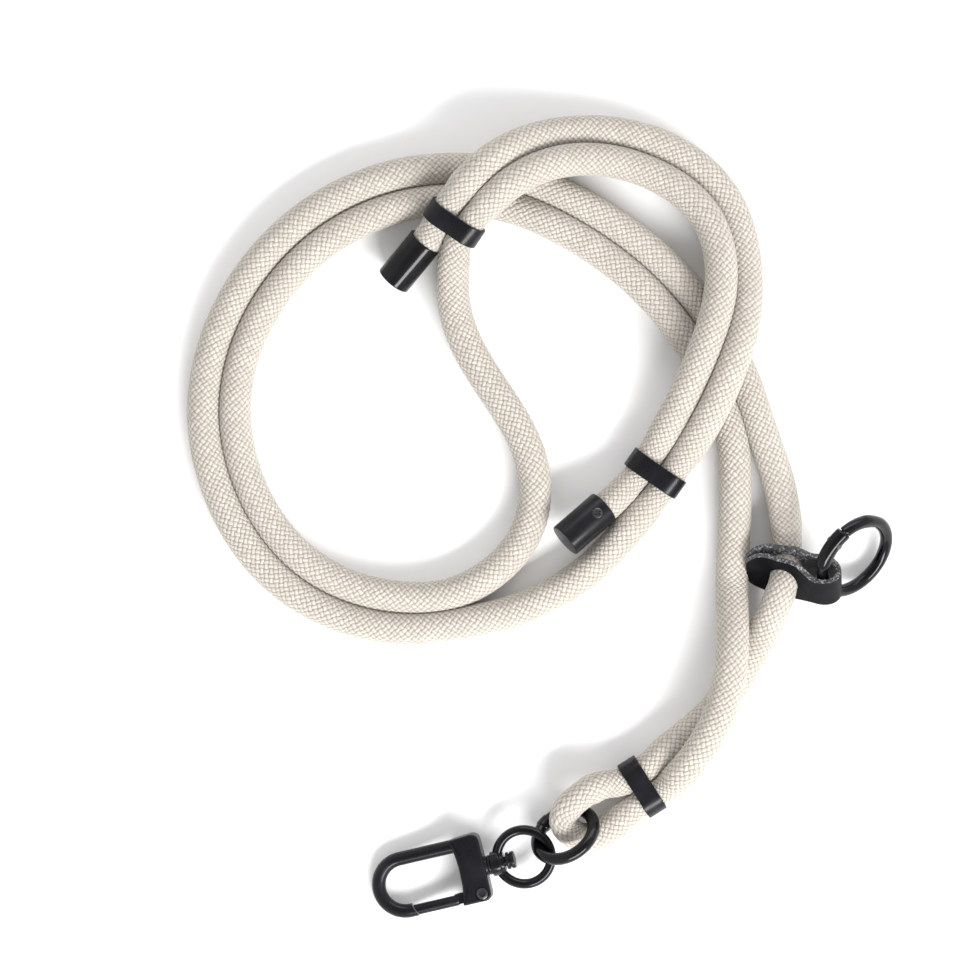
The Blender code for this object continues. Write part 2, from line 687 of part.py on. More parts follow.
def seam_cutter(side):
    """A slab whose slanted face trims the nose (side 1) or the gate (side -1) at their seam."""
    middle = NOSE_END - 0.7
    slab = box_mesh("seam", (0.0, -6.0, -4.0), (8.0, 6.0, 4.0)) if side > 0 else \
        box_mesh("seam", (-8.0, -6.0, -4.0), (0.0, 6.0, 4.0))
    shift = Vector((middle + (0.0 if side > 0 else GAP), -BAR_OFFSET, 0.0)) * MM
    return slab, Matrix.Translation(shift) @ Matrix.Rotation(math.radians(NOSE_SLANT), 4, "Z")


def make_hook_body(group, tools, finish, place):
    """Block, bar and swivel post in one solid, slotted for the gate and bored for its screw."""
    body = add_object("hook_body", block_mesh(), group, finish, place)
    bevel(body, 0.9, 3, 50.0)
    bar = add_tool("hook_bar", tube_mesh("bar", hook_bar_points(), BAR_RADIUS, False, 3), tools, place)
    slab, slab_place = seam_cutter(1)
    combine(bar, add_tool("nose_seam", slab, tools, place @ slab_place), "DIFFERENCE")
    combine(body, bar, "UNION")
    end = HEAD_FROM + HEAD_LENGTH
    waist = HEAD_FROM + HEAD_LENGTH / 2
    profile = [(0.0, end), (HEAD_RADIUS - 0.3, end), (HEAD_RADIUS, end - 0.3), (HEAD_RADIUS, waist + 0.4),
               (HEAD_RADIUS - 0.5, waist + 0.2), (HEAD_RADIUS - 0.5, waist - 0.2), (HEAD_RADIUS, waist - 0.4),
               (HEAD_RADIUS, HEAD_FROM), (POST_RADIUS, HEAD_FROM), (POST_RADIUS, COLLAR_LENGTH),
               (COLLAR_RADIUS - 0.3, COLLAR_LENGTH), (COLLAR_RADIUS, COLLAR_LENGTH - 0.3), (COLLAR_RADIUS, -2.0),
               (0.0, -2.0)]
    post = turned("hook_post", profile, tools, None, place @ along_axis())
    post.hide_render = True
    post.display_type = "WIRE"
    combine(body, post, "UNION")
    slot = box_mesh("slot", (-BLOCK_LENGTH - 4.0, -BLOCK_HALF_WIDTH - 3.0, -SLOT_THICKNESS / 2),
                    (-SLOT_DEPTH, SLOT_TOP, SLOT_THICKNESS / 2))
    combine(body, add_tool("gate_slot", slot, tools, place), "DIFFERENCE")
    pivot = place @ Matrix.Translation(Vector((*GATE_PIVOT, 0.0)) * MM)
    bore = cylinder_mesh("screw_bore", GATE_SCREW_SHANK + GAP, BLOCK_THICKNESS + 2.0, 16)
    combine(body, add_tool("screw_bore", bore, tools, pivot), "DIFFERENCE")
    sink = Matrix.Translation((0.0, 0.0, BLOCK_THICKNESS / 2 * MM))
    recess = cylinder_mesh("screw_recess", GATE_SCREW_HEAD + GAP, 1.8, 20)
    combine(body, add_tool("screw_recess", recess, tools, pivot @ sink), "DIFFERENCE")
    return body


def make_gate(group, tools, finish, place):
    """The sprung gate: a round bar that ends in a flat eye on the pivot."""
    pivot_shift = Vector((*GATE_PIVOT, 0.0))
    pivot = place @ Matrix.Translation(pivot_shift * MM)
    points = [Vector((x, GATE_OFFSET, 0.0)) - pivot_shift for x in (NOSE_END - 4.0, -16.0, -BLOCK_LENGTH - 0.8)]
    gate = add_object("hook_gate", tube_mesh("hook_gate", points, GATE_RADIUS, False, 3), group, finish, pivot)
    slab, slab_place = seam_cutter(-1)
    combine(gate, add_tool("gate_seam", slab, tools, place @ slab_place), "DIFFERENCE")
    half = GATE_TONGUE_THICKNESS / 2
    low = GATE_OFFSET - GATE_PIVOT[1] - 1.25
    tongue = box_mesh("tongue", (-BLOCK_LENGTH - 2.2 - GATE_PIVOT[0], low, -half), (0.0, 1.4, half))
    combine(gate, add_tool("hook_gate_tongue", tongue, tools, pivot), "UNION")
    eye = cylinder_mesh("gate_eye", GATE_EYE_RADIUS, 2 * half, 20)
    combine(gate, add_tool("hook_gate_eye", eye, tools, pivot), "UNION")
    bore = cylinder_mesh("gate_bore", GATE_SCREW_SHANK + GAP, 6.0, 16)
    combine(gate, add_tool("hook_gate_bore", bore, tools, pivot), "DIFFERENCE")


def make_gate_screw(group, tools, finish, place):
    """The gate's screw: a head sunk in the block's face and a shank through the gate's eye."""
    head_top = BLOCK_THICKNESS / 2 - 0.1
    head_low = BLOCK_THICKNESS / 2 - 0.6
    low = -BLOCK_THICKNESS / 2 + 0.2
    profile = [(0.0, head_top), (GATE_SCREW_HEAD - 0.25, head_top), (GATE_SCREW_HEAD, head_top - 0.2),
               (GATE_SCREW_HEAD, head_low), (GATE_SCREW_SHANK, head_low), (GATE_SCREW_SHANK, low), (0.0, low)]
    pivot = place @ Matrix.Translation(Vector((*GATE_PIVOT, 0.0)) * MM)
    screw = turned("hook_gate_screw", profile, group, finish, pivot, 16)
    socket = cylinder_mesh("socket", 0.8, 1.0, 6)
    up = Matrix.Translation((0.0, 0.0, head_top * MM))
    combine(screw, add_tool("gate_screw_socket", socket, tools, pivot @ up), "DIFFERENCE")


def make_eye(group, tools, finish, place):
    """The swivel's eye: a round ring with a bored boss that turns on the hook's post."""
    roll = Matrix.Rotation(math.radians(EYE_ROLL), 4, "X")
    ring_place = place @ roll @ Matrix.Translation((EYE_CENTRE * MM, 0.0, 0.0))
    mesh = tube_mesh("swivel_eye", arc(EYE_RADIUS, 0.0, 351.0, 39), EYE_WIRE, True, 2)
    eye = add_object("swivel_eye", mesh, group, finish, ring_place)
    middle = (BOSS_FROM + BOSS_TO) / 2
    boss = add_tool("eye_boss", cylinder_mesh("boss", BOSS_RADIUS, BOSS_TO - BOSS_FROM, 28), tools,
                    place @ along_axis(middle))
    combine(eye, boss, "UNION")
    bore = cylinder_mesh("boss_bore", BOSS_BORE, 9.0, 24)
    combine(eye, add_tool("eye_bore", bore, tools, place @ along_axis(middle)), "DIFFERENCE")


def main():
    """Build every piece of the strap."""
    clear_file()
    group = make_collection(COLLECTION)
    tools = make_collection("cutters")
    finish = make_finishes()
    make_cord(group, finish["cord_braid"])
    make_cap("end_cap_a", CAP_A_ROWS, -1.0, group, tools, finish["gloss_black"], finish["screw_black"])
    make_cap("end_cap_b", CAP_B_ROWS, 1.0, group, tools, finish["satin_black"], finish["screw_black"])
    for name, rows in KEEPER_ROWS.items():
        make_keeper(name, rows, group, finish["satin_black"])
    make_tab(group, tools, finish["leather"])
    make_tab_ring(group, tools, finish["gloss_black"], finish["screw_black"])
    make_loop_ring(group, finish["gloss_black"])
    place = hook_frame()
    make_eye(group, tools, finish["gloss_black"], place)
    make_hook_body(group, tools, finish["satin_black"], place)
    make_gate(group, tools, finish["satin_black"], place)
    make_gate_screw(group, tools, finish["screw_black"], place)


main()
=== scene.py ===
"""The dressed crossbody strap: a thick ivory braid laid in two turns on a pale floor, with black
end caps, oval keepers, a folded leather tab on its spring ring, and a swivel snap hook.

Lengths are millimetres on the layout drawing (X right, Y up, Z off the floor) until a mesh is
made, when they become metres round the middle of the hardware's outline.
"""

import math

import bpy
import numpy as np
from mathutils import Matrix


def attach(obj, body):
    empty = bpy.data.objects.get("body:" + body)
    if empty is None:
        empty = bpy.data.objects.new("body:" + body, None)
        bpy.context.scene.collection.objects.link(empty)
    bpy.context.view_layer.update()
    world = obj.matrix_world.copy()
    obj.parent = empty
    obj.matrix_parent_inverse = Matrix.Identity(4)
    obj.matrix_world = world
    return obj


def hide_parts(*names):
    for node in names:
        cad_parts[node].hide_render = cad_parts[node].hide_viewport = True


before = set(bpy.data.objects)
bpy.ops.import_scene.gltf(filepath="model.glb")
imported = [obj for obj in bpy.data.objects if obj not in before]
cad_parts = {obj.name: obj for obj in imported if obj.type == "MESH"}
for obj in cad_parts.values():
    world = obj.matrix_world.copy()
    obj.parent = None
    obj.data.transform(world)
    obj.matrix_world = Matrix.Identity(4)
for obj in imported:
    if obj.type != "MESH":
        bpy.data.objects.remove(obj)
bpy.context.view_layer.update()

MM = 0.001
NO_TRIANGLES = np.zeros((0, 3), int)
LAYOUT_CENTRE = np.array((190.728, 121.558, 0.0))

# The cord's route: x, y, z and girth, from cap A to cap B. It is the solids' route but for rows
# 4 and 70 past keeper A and rows 39 and 40 in the end loop, moved to suit the fuller braid.
ROUTE = np.array((
    (120.6, 207.4, 6.1, 0.95), (128.8, 217.1, 10.0, 0.95), (131.9, 222.1, 12.2, 0.92),
    (135.9, 228.0, 14.4, 0.92), (146.5, 239.7, 15.3, 1.00), (169.4, 250.3, 7.2, 1.00),
    (198.7, 247.0, 4.6, 1.00), (219.9, 229.9, 4.6, 1.00), (225.7, 202.1, 9.6, 1.00),
    (223.7, 188.2, 14.3, 1.00), (218.4, 172.0, 15.4, 1.00), (203.7, 147.9, 7.1, 0.92),
    (199.5, 141.8, 6.5, 0.92), (180.6, 120.1, 4.6, 1.00), (151.2, 103.9, 4.6, 1.00),
    (118.3, 100.2, 4.6, 1.00), (87.7, 112.1, 4.6, 1.00), (67.0, 139.2, 4.6, 1.00),
    (61.5, 169.4, 4.6, 1.00), (71.1, 200.6, 4.6, 1.00), (93.8, 226.0, 4.6, 1.00),
    (122.2, 238.5, 4.6, 1.00), (136.7, 239.6, 4.6, 1.00), (151.2, 238.8, 4.6, 1.00),
    (179.1, 227.2, 4.6, 1.00), (202.4, 209.8, 4.6, 1.00), (219.6, 187.2, 4.6, 1.00),
    (231.1, 160.9, 4.6, 1.00), (237.9, 124.6, 7.2, 0.94), (236.9, 115.6, 10.5, 0.94),
    (234.3, 107.5, 10.4, 0.96), (229.5, 96.9, 5.6, 1.00), (216.9, 76.8, 4.6, 1.00),
    (204.8, 66.1, 4.6, 1.00), (195.0, 58.1, 5.8, 0.92), (188.7, 54.1, 5.8, 0.92),
    (184.2, 53.5, 7.1, 0.92), (174.6, 49.3, 10.9, 0.92), (170.3, 42.8, 9.5, 0.92),
    (174.8, 37.6, 7.1, 0.92), (186.1, 41.0, 6.2, 0.97), (193.3, 46.9, 5.8, 0.92),
    (199.5, 50.9, 5.8, 0.92), (206.3, 56.9, 10.6, 1.00), (213.6, 66.9, 14.6, 1.00),
    (218.1, 77.4, 15.2, 1.00), (221.1, 94.4, 12.9, 1.00), (221.4, 114.0, 4.6, 1.00),
    (222.3, 140.7, 4.6, 1.00), (219.3, 162.7, 4.6, 1.00), (210.4, 182.7, 4.6, 1.00),
    (195.1, 202.4, 4.6, 1.00), (173.9, 218.7, 4.6, 1.00), (150.3, 228.2, 4.6, 1.00),
    (137.0, 229.8, 4.6, 1.00), (124.3, 228.1, 4.6, 1.00), (99.5, 217.6, 4.6, 1.00),
    (78.3, 193.6, 4.6, 1.00), (71.2, 168.5, 4.6, 1.00), (76.4, 142.2, 4.6, 1.00),
    (93.3, 120.1, 4.6, 1.00), (118.0, 110.5, 4.6, 1.00), (144.0, 114.6, 4.6, 1.00),
    (159.1, 129.2, 4.6, 1.00), (160.8, 150.6, 4.6, 1.00), (148.8, 173.3, 4.6, 1.00),
    (138.2, 194.2, 4.6, 1.00), (137.2, 210.2, 8.8, 1.00), (138.9, 217.4, 12.2, 0.92),
    (142.9, 223.2, 14.4, 0.92), (152.7, 233.0, 15.8, 1.00), (171.2, 240.9, 11.4, 1.00),
    (194.8, 238.5, 7.2, 1.00), (212.4, 225.4, 9.6, 1.00), (216.9, 199.7, 15.0, 1.00),
    (210.5, 180.6, 15.4, 1.00), (196.8, 152.7, 7.1, 0.92), (192.5, 146.7, 6.5, 0.92),
    (185.6, 139.7, 7.6, 0.95), (182.6, 137.1, 8.5, 0.95), (172.5, 128.4, 11.3, 0.95),
))
REST_HEIGHT = 4.75
CORD_RADIUS = 4.9
STITCH_ROWS = 805
CORD_RINGS = 2 * STITCH_ROWS + 1
STITCHES_ROUND = 15
CORD_SIDES = 4 * STITCHES_ROUND
RELIEF = 0.24
NIP_DEPTH = 8.2
# How strands touch: SAME_STRAND, DRAW_WINDOW and CAP_STEPS count steps of 1 mm along the cord.
SAME_STRAND = 26
SIDE_BY_SIDE = 0.93
DRAW_REACH = 11.3
DRAW_FADE = 0.6
DRAW_WINDOW = 43
TOUCH_OVERLAP = 0.35
PRESS_GAP = 0.03
FLOOR_GAP = 0.02

CAP_LENGTH = 16.0
CAP_RADIUS = 5.35
CAP_WALL = 0.85
CAP_END_WALL = 1.2
CAP_GAP = 0.12
CAP_ROOM = 0.9
CAP_STEPS = 16
CAP_OWN_STEPS = 40
CAP_SCREW_FROM_MOUTH = 3.9
CAP_ROWS = ((1, 0), (79, 80))
KEEPER_ROWS = {"keeper_a": (2, 3, 68, 69), "keeper_b": (12, 11, 77, 76), "keeper_c": (35, 34, 41, 42)}
KEEPER_LENGTH = 18.8
KEEPER_HEIGHT = 10.5
KEEPER_WALL = 0.85
KEEPER_WIDTH = 6.2
KEEPER_LIP = 0.32

TAB_LINE = np.array((
    (0.8, -0.9), (4.2, -1.3), (7.9, -1.4), (11.5, -1.0), (15.7, -0.4), (19.7, -0.1), (23.6, 0.3),
    (26.8, 1.8), (28.6, 4.6), (28.3, 7.9), (26.0, 9.9), (22.6, 9.8), (19.7, 8.2), (16.6, 6.1),
    (12.7, 4.3), (8.5, 2.9), (4.5, 1.7), (1.0, 1.2),
))
TAB_THICKNESS = 1.7
TAB_END_RADIUS = 8.0
TAB_WAIST = 5.1
TAB_TIP = (224.8, 119.2, 6.85)
TAB_LEAN = 50.0
TAB_RISE = 6.0
TAB_ROWS = 150
TAB_COLUMNS = 33
TAB_HOLE_RADIUS = 4.7
TAB_HOLLOW = (24.0, 0.0, 5.0)

RING_WIRE = 1.9
TAB_RING = {"centre": (257.0, 123.0), "radius": 12.4, "level_axis": 48.0, "tilt": 51.0}
TAB_RING_LIFT = 1.3
GATE_FROM = 97.0
JOINT_AT = 76.0
SLOT_END = 118.0
GATE_TO = 30.0
GATE_SEAM_SLANT = 36.0
KNUCKLE_END = 142.0
KNUCKLE_SWELL = 0.42
SEAM_HALF_GAP = 0.03
JOINT_GAPS = (0.14, 0.1)
FORK_HALF_WIDTH = 0.72
TONGUE_HALF_WIDTH = 0.56
RIVET_HALF_LENGTH = 2.62
LOOP_RING = {"centre": (170.9, 38.4), "radius": 9.3, "level_axis": 32.4, "tilt": -51.0}

HOOK_AT = (147.0, 28.65, 6.25)
HOOK_TURN = 13.7
HOOK_PITCH = 6.7
BAR_RADIUS = 2.1
BAR_OFFSET = 8.0
BEND_AT = -25.4
NOSE_END = -23.4
NOSE_SLANT = 20.0
SEAM_SETBACK = 0.7
BLOCK_LENGTH = 9.2
BLOCK_HALF_WIDTH = 10.1
BLOCK_HALF_THICKNESS = 3.6
GATE_RADIUS = 1.65
GATE_OFFSET = -8.2
GATE_PIVOT = (-2.7, -7.7, 0.0)
EYE_CENTRE = 11.9
EYE_RADIUS = 8.25
EYE_WIRE = 1.5
EYE_ROLL = 5.0

FRAME_WIDTH = 290.4
LIT_POINT = (180.0, 140.0, 0.0)
LAMP_DISTANCE = 1600.0


# Placing and curves

def unit(vectors):
    """Vectors divided by their own lengths."""
    vectors = np.asarray(vectors, float)
    return vectors / np.linalg.norm(vectors, axis=-1, keepdims=True)


def placing(origin, x_axis, z_axis):
    """A rotation (columns are the axes) and an origin: X is kept, Z is squared to it."""
    x_axis = unit(x_axis)
    y_axis = unit(np.cross(z_axis, x_axis))
    return np.column_stack((x_axis, y_axis, np.cross(x_axis, y_axis))), np.asarray(origin, float)


def place(points, where):
    """Points carried into a placing: rotation times point, plus origin."""
    turn, origin = where
    return np.asarray(points, float) @ turn.T + origin


def inside(where, local):
    """A placing given inside another one."""
    return where[0] @ local[0], place(local[1], where)


def natural_spline(points):
    """The smoothest curve through the points: a natural cubic over chord length."""
    knots = np.r_[0.0, np.cumsum(np.linalg.norm(np.diff(points[:, :3], axis=0), axis=1))]
    span = np.diff(knots)[:, None]
    slope = np.diff(points, axis=0) / span
    count = len(points)
    middle = np.arange(1, count - 1)
    system = np.eye(count)
    system[middle, middle - 1] = span[:-1, 0]
    system[middle, middle] = 2 * (span[:-1, 0] + span[1:, 0])
    system[middle, middle + 1] = span[1:, 0]
    bends = np.zeros_like(points)
    bends[1:-1] = 6 * np.diff(slope, axis=0)
    bends = np.linalg.solve(system, bends)

    def at(where):
        where = np.atleast_1d(where)
        i = np.clip(np.searchsorted(knots, where, side="right") - 1, 0, count - 2)
        before = (where - knots[i])[:, None]
        after = (knots[i + 1] - where)[:, None]
        h = span[i]
        cubic = (bends[i] * after ** 3 + bends[i + 1] * before ** 3) / (6 * h)
        start = (points[i] / h - bends[i] * h / 6) * after
        return cubic + start + (points[i + 1] / h - bends[i + 1] * h / 6) * before

    return knots, at


def even_steps(path, count):
    """The path again, with its points evenly spaced along it."""
    run = np.r_[0.0, np.cumsum(np.linalg.norm(np.diff(path, axis=0), axis=1))]
    steps = np.linspace(0.0, run[-1], count)
    return np.column_stack([np.interp(steps, run, path[:, k]) for k in range(path.shape[1])])


def ease(x):
    """A smooth step from 0 to 1."""
    x = np.clip(x, 0.0, 1.0)
    return x * x * (3 - 2 * x)


# Surfaces

def piece_from(name, vertices, quads, triangles, finish, uv=None, crisp=None):
    """A mesh piece from millimetre drawing points, its faces and their corners' UVs."""
    mesh = bpy.data.meshes.new(name)
    points = (vertices - LAYOUT_CENTRE) * MM
    mesh.from_pydata(points, [], quads.tolist() + triangles.tolist())
    mesh.update()
    if uv is not None:
        layer = mesh.uv_layers.new(name="UVMap")
        layer.data.foreach_set("uv", uv.astype(np.float32).ravel())
    mesh.shade_smooth()
    if crisp is not None:
        mesh.set_sharp_from_angle(angle=math.radians(crisp))
    for each in finish if isinstance(finish, (list, tuple)) else [finish]:
        mesh.materials.append(each)
    piece = bpy.data.objects.new(name, mesh)
    bpy.context.scene.collection.objects.link(piece)
    return piece


def sheet_faces(rows, columns):
    """The four-sided faces of an open grid of rows by columns."""
    i, j = (part.ravel() for part in np.meshgrid(np.arange(rows - 1), np.arange(columns - 1), indexing="ij"))
    corner = i * columns + j
    return np.column_stack((corner, corner + 1, corner + columns + 1, corner + columns))


def grid_piece(name, grid, finish, closed=False, crisp=None):
    """A closed skin over a grid of rings: rows follow one another, columns go round each ring.

    Row i, column j is a point; each face joins (i, j), (i, j+1), (i+1, j+1), (i+1, j). The last
    row joins the first if closed, otherwise each end ring is fanned to its own middle. UV is
    column over columns and row over rows.
    """
    rows, columns = grid.shape[:2]
    vertices = grid.reshape(-1, 3)
    steps = rows if closed else rows - 1
    i, j = np.meshgrid(np.arange(steps), np.arange(columns), indexing="ij")
    i, j = i.ravel(), j.ravel()
    i2, j2 = (i + 1) % rows, (j + 1) % columns
    quads = np.column_stack((i * columns + j, i * columns + j2, i2 * columns + j2, i2 * columns + j))
    u, v = np.array((0, 1, 1, 0)), np.array((0, 0, 1, 1))
    quad_uv = np.stack(((j[:, None] + u) / columns, (i[:, None] + v) / steps), axis=-1)
    triangles = NO_TRIANGLES
    triangle_uv = np.zeros((0, 3, 2))
    if not closed:
        vertices = np.vstack((vertices, grid[0].mean(0), grid[-1].mean(0)))
        ring = np.arange(columns)
        after = (ring + 1) % columns
        start = np.column_stack((after, ring, np.full(columns, rows * columns)))
        last = (rows - 1) * columns
        end = np.column_stack((last + ring, last + after, np.full(columns, rows * columns + 1)))
        triangles = np.vstack((start, end))
        turn = np.column_stack((ring, ring + 1, ring + 0.5)) / columns
        triangle_uv = np.concatenate((
            np.stack((turn[:, (1, 0, 2)], np.zeros((columns, 3))), axis=-1),
            np.stack((turn, np.ones((columns, 3))), axis=-1)))
    a, b, c, d = (vertices[quads[:, k]] for k in range(4))
    if np.einsum("ij,ij->i", a - vertices.mean(0), np.cross(c - a, d - b)).sum() < 0:
        quads, triangles = quads[:, ::-1], triangles[:, ::-1]
        quad_uv, triangle_uv = quad_uv[:, ::-1], triangle_uv[:, ::-1]
    uv = np.vstack((quad_uv.reshape(-1, 2), triangle_uv.reshape(-1, 2)))
    return piece_from(name, vertices, quads, triangles, finish, uv, crisp)


def swept(path, radius, sides, up=(0.0, 0.0, 1.0), closed=False):
    """Rings round a path: centre + radius * (cos t * side + sin t * up), square to the path.

    The side is the path's direction crossed with the given up, so the rings never twist.
    """
    path = np.asarray(path, float)
    if closed:
        along = unit(np.roll(path, -1, 0) - np.roll(path, 1, 0))
    else:
        along = unit(np.gradient(path, axis=0))
    side = unit(np.cross(along, up))
    top = np.cross(side, along)
    t = np.linspace(0.0, 2 * np.pi, sides, endpoint=False)
    spread = np.cos(t)[None, :, None] * side[:, None] + np.sin(t)[None, :, None] * top[:, None]
    return path[:, None] + np.broadcast_to(radius, (len(path), sides))[..., None] * spread


def turned(profile, sides, where):
    """A profile of (radius, height) rows turned about the placing's Z axis."""
    profile = np.asarray(profile, float)
    t = np.linspace(0.0, 2 * np.pi, sides, endpoint=False)
    ring = np.stack((np.cos(t), np.sin(t)), axis=-1)
    grid = np.concatenate((profile[:, None, :1] * ring[None], np.broadcast_to(
        profile[:, None, 1:], (len(profile), sides, 1))), axis=-1)
    return place(grid, where)


def softened(profile, radius=0.3, steps=5):
    """A profile with each inner corner replaced by a small quadratic bend."""
    profile = np.asarray(profile, float)
    out = [profile[:1]]
    t = np.linspace(0.0, 1.0, steps)[:, None]
    for before, corner, after in zip(profile[:-2], profile[1:-1], profile[2:]):
        reach = min(radius, np.linalg.norm(corner - before) / 2.05, np.linalg.norm(after - corner) / 2.05)
        a = corner + unit(before - corner) * reach
        b = corner + unit(after - corner) * reach
        out.append((1 - t) ** 2 * a + 2 * t * (1 - t) * corner + t * t * b)
    return np.vstack(out + [profile[-1:]])


def slab(outline, half, edge, where):
    """A flat part: its outline carried over its thickness, drawn in near both faces by
    edge * (1 - cos a) while the height is half - edge + edge * sin a, then closed by rings."""
    outline = np.asarray(outline, float)
    run = unit(np.roll(outline, -1, 0) - np.roll(outline, 1, 0))
    out = np.column_stack((run[:, 1], -run[:, 0]))
    middle = outline.mean(0)
    a = np.radians(np.linspace(0.0, 90.0, 6))
    rows = []
    for side in (-1, 1):
        wall = [(outline - out * edge * (1 - c), side * (half - edge + edge * s))
                for c, s in zip(np.cos(a), np.sin(a))]
        rim = wall[-1][0]
        wall += [(middle + (rim - middle) * k, side * half) for k in (0.75, 0.45, 0.15)]
        rows += wall[::-1] if side < 0 else wall
    grid = np.array([np.column_stack((xy, np.full(len(xy), z))) for xy, z in rows])
    return place(grid, where)


def apply_modifiers(piece):
    """Keep the shape that the modifiers give, and drop them."""
    seen = piece.evaluated_get(bpy.context.evaluated_depsgraph_get())
    mesh = bpy.data.meshes.new_from_object(seen)
    piece.modifiers.clear()
    piece.data = mesh


def cut(piece, grids, operation="DIFFERENCE", crisp=35.0):
    """Cut away (or add) the closed shapes that the grids describe."""
    for k, grid in enumerate(grids):
        tool = grid_piece(f"{piece.name}_tool_{k}", grid, piece.data.materials[0])
        step = piece.modifiers.new(f"cut_{k}", "BOOLEAN")
        step.operation = operation
        step.solver = "EXACT"
        step.object = tool
        apply_modifiers(piece)
        bpy.data.objects.remove(tool, do_unlink=True)
    piece.data.shade_smooth()
    piece.data.set_sharp_from_angle(angle=math.radians(crisp))


def arc_points(radius, start, end, count, centre=(0.0, 0.0)):
    """Points (x, y, 0) on an arc between two angles in degrees."""
    a = np.radians(np.linspace(start, end, count))
    return np.column_stack((centre[0] + radius * np.cos(a), centre[1] + radius * np.sin(a), np.zeros(count)))


def box_grid(low, high, where):
    """A box as rings: the outline of its low face, then of its high face."""
    (x0, y0, z0), (x1, y1, z1) = low, high
    ring = np.array(((x0, y0), (x1, y0), (x1, y1), (x0, y1)))
    grid = np.array([np.column_stack((ring, np.full(4, z))) for z in (z0, z1)])
    return place(grid, where)


# Finishes

class Finish:
    """A Principled material and the short calls that wire its nodes."""

    def __init__(self, name, base, roughness, metallic=0.0, **fixed):
        self.material = bpy.data.materials.new(name)
        self.material.use_nodes = True
        self.tree = self.material.node_tree
        self.shader = self.tree.nodes["Principled BSDF"]
        self.set("Base Color", (*base, 1.0))
        self.set("Roughness", roughness)
        self.set("Metallic", metallic)
        for socket, value in fixed.items():
            self.set(socket.replace("_", " "), value)

    def set(self, socket, value):
        """Fix one of the shader's own sockets."""
        self.shader.inputs[socket].default_value = value

    def link(self, source, target):
        """Join an output to an input, or fix the input if the source is a number."""
        if isinstance(source, (int, float)):
            target.default_value = source
        else:
            self.tree.links.new(source, target)

    def math(self, operation, *values):
        """A Math node's output."""
        node = self.tree.nodes.new("ShaderNodeMath")
        node.operation = operation
        for k, value in enumerate(values):
            self.link(value, node.inputs[k])
        return node.outputs[0]

    def coordinates(self, kind="Object"):
        """An output of Texture Coordinate."""
        return self.tree.nodes.new("ShaderNodeTexCoord").outputs[kind]

    def noise(self, scale, detail, roughness=0.5):
        """A noise pattern on object coordinates."""
        node = self.tree.nodes.new("ShaderNodeTexNoise")
        node.inputs["Scale"].default_value = scale
        node.inputs["Detail"].default_value = detail
        node.inputs["Roughness"].default_value = roughness
        self.link(self.coordinates(), node.inputs["Vector"])
        return node.outputs["Fac"]

    def ramp(self, value, low, high, to_low=0.0, to_high=1.0):
        """A smooth change from one number to another between two values."""
        node = self.tree.nodes.new("ShaderNodeMapRange")
        node.interpolation_type = "SMOOTHSTEP"
        for socket, number in zip(("From Min", "From Max", "To Min", "To Max"), (low, high, to_low, to_high)):
            node.inputs[socket].default_value = number
        self.link(value, node.inputs["Value"])
        return node.outputs["Result"]

    def mix(self, factor, first, second):
        """A mix of two colours, each an output or an RGB triple."""
        node = self.tree.nodes.new("ShaderNodeMix")
        node.data_type = "RGBA"
        self.link(factor, node.inputs["Factor"])
        for source, target in ((first, node.inputs["A"]), (second, node.inputs["B"])):
            if isinstance(source, tuple):
                target.default_value = (*source, 1.0)
            else:
                self.link(source, target)
        return node.outputs["Result"]

    def bump(self, height, distance, strength=1.0):
        """Relief in metres, fed to the shader's normal."""
        node = self.tree.nodes.new("ShaderNodeBump")
        node.inputs["Strength"].default_value = strength
        node.inputs["Distance"].default_value = distance
        self.link(height, node.inputs["Height"])
        self.link(node.outputs["Normal"], self.shader.inputs["Normal"])


def woven_lump(yarn, along, across):
    """One visible yarn's height: (1 - (across / 0.41)^2)^0.6 times (1 - (along / 0.62)^2)^0.5."""
    width = yarn.math("POWER", yarn.math("DIVIDE", yarn.math("ABSOLUTE", across), 0.41), 2.0)
    length = yarn.math("POWER", yarn.math("DIVIDE", yarn.math("ABSOLUTE", along), 0.62), 2.0)
    barrel = yarn.math("POWER", yarn.math("MAXIMUM", yarn.math("SUBTRACT", 1.0, width), 0.0), 0.6)
    arch = yarn.math("POWER", yarn.math("MAXIMUM", yarn.math("SUBTRACT", 1.0, length), 0.0), 0.5)
    return yarn.math("MULTIPLY", barrel, arch)


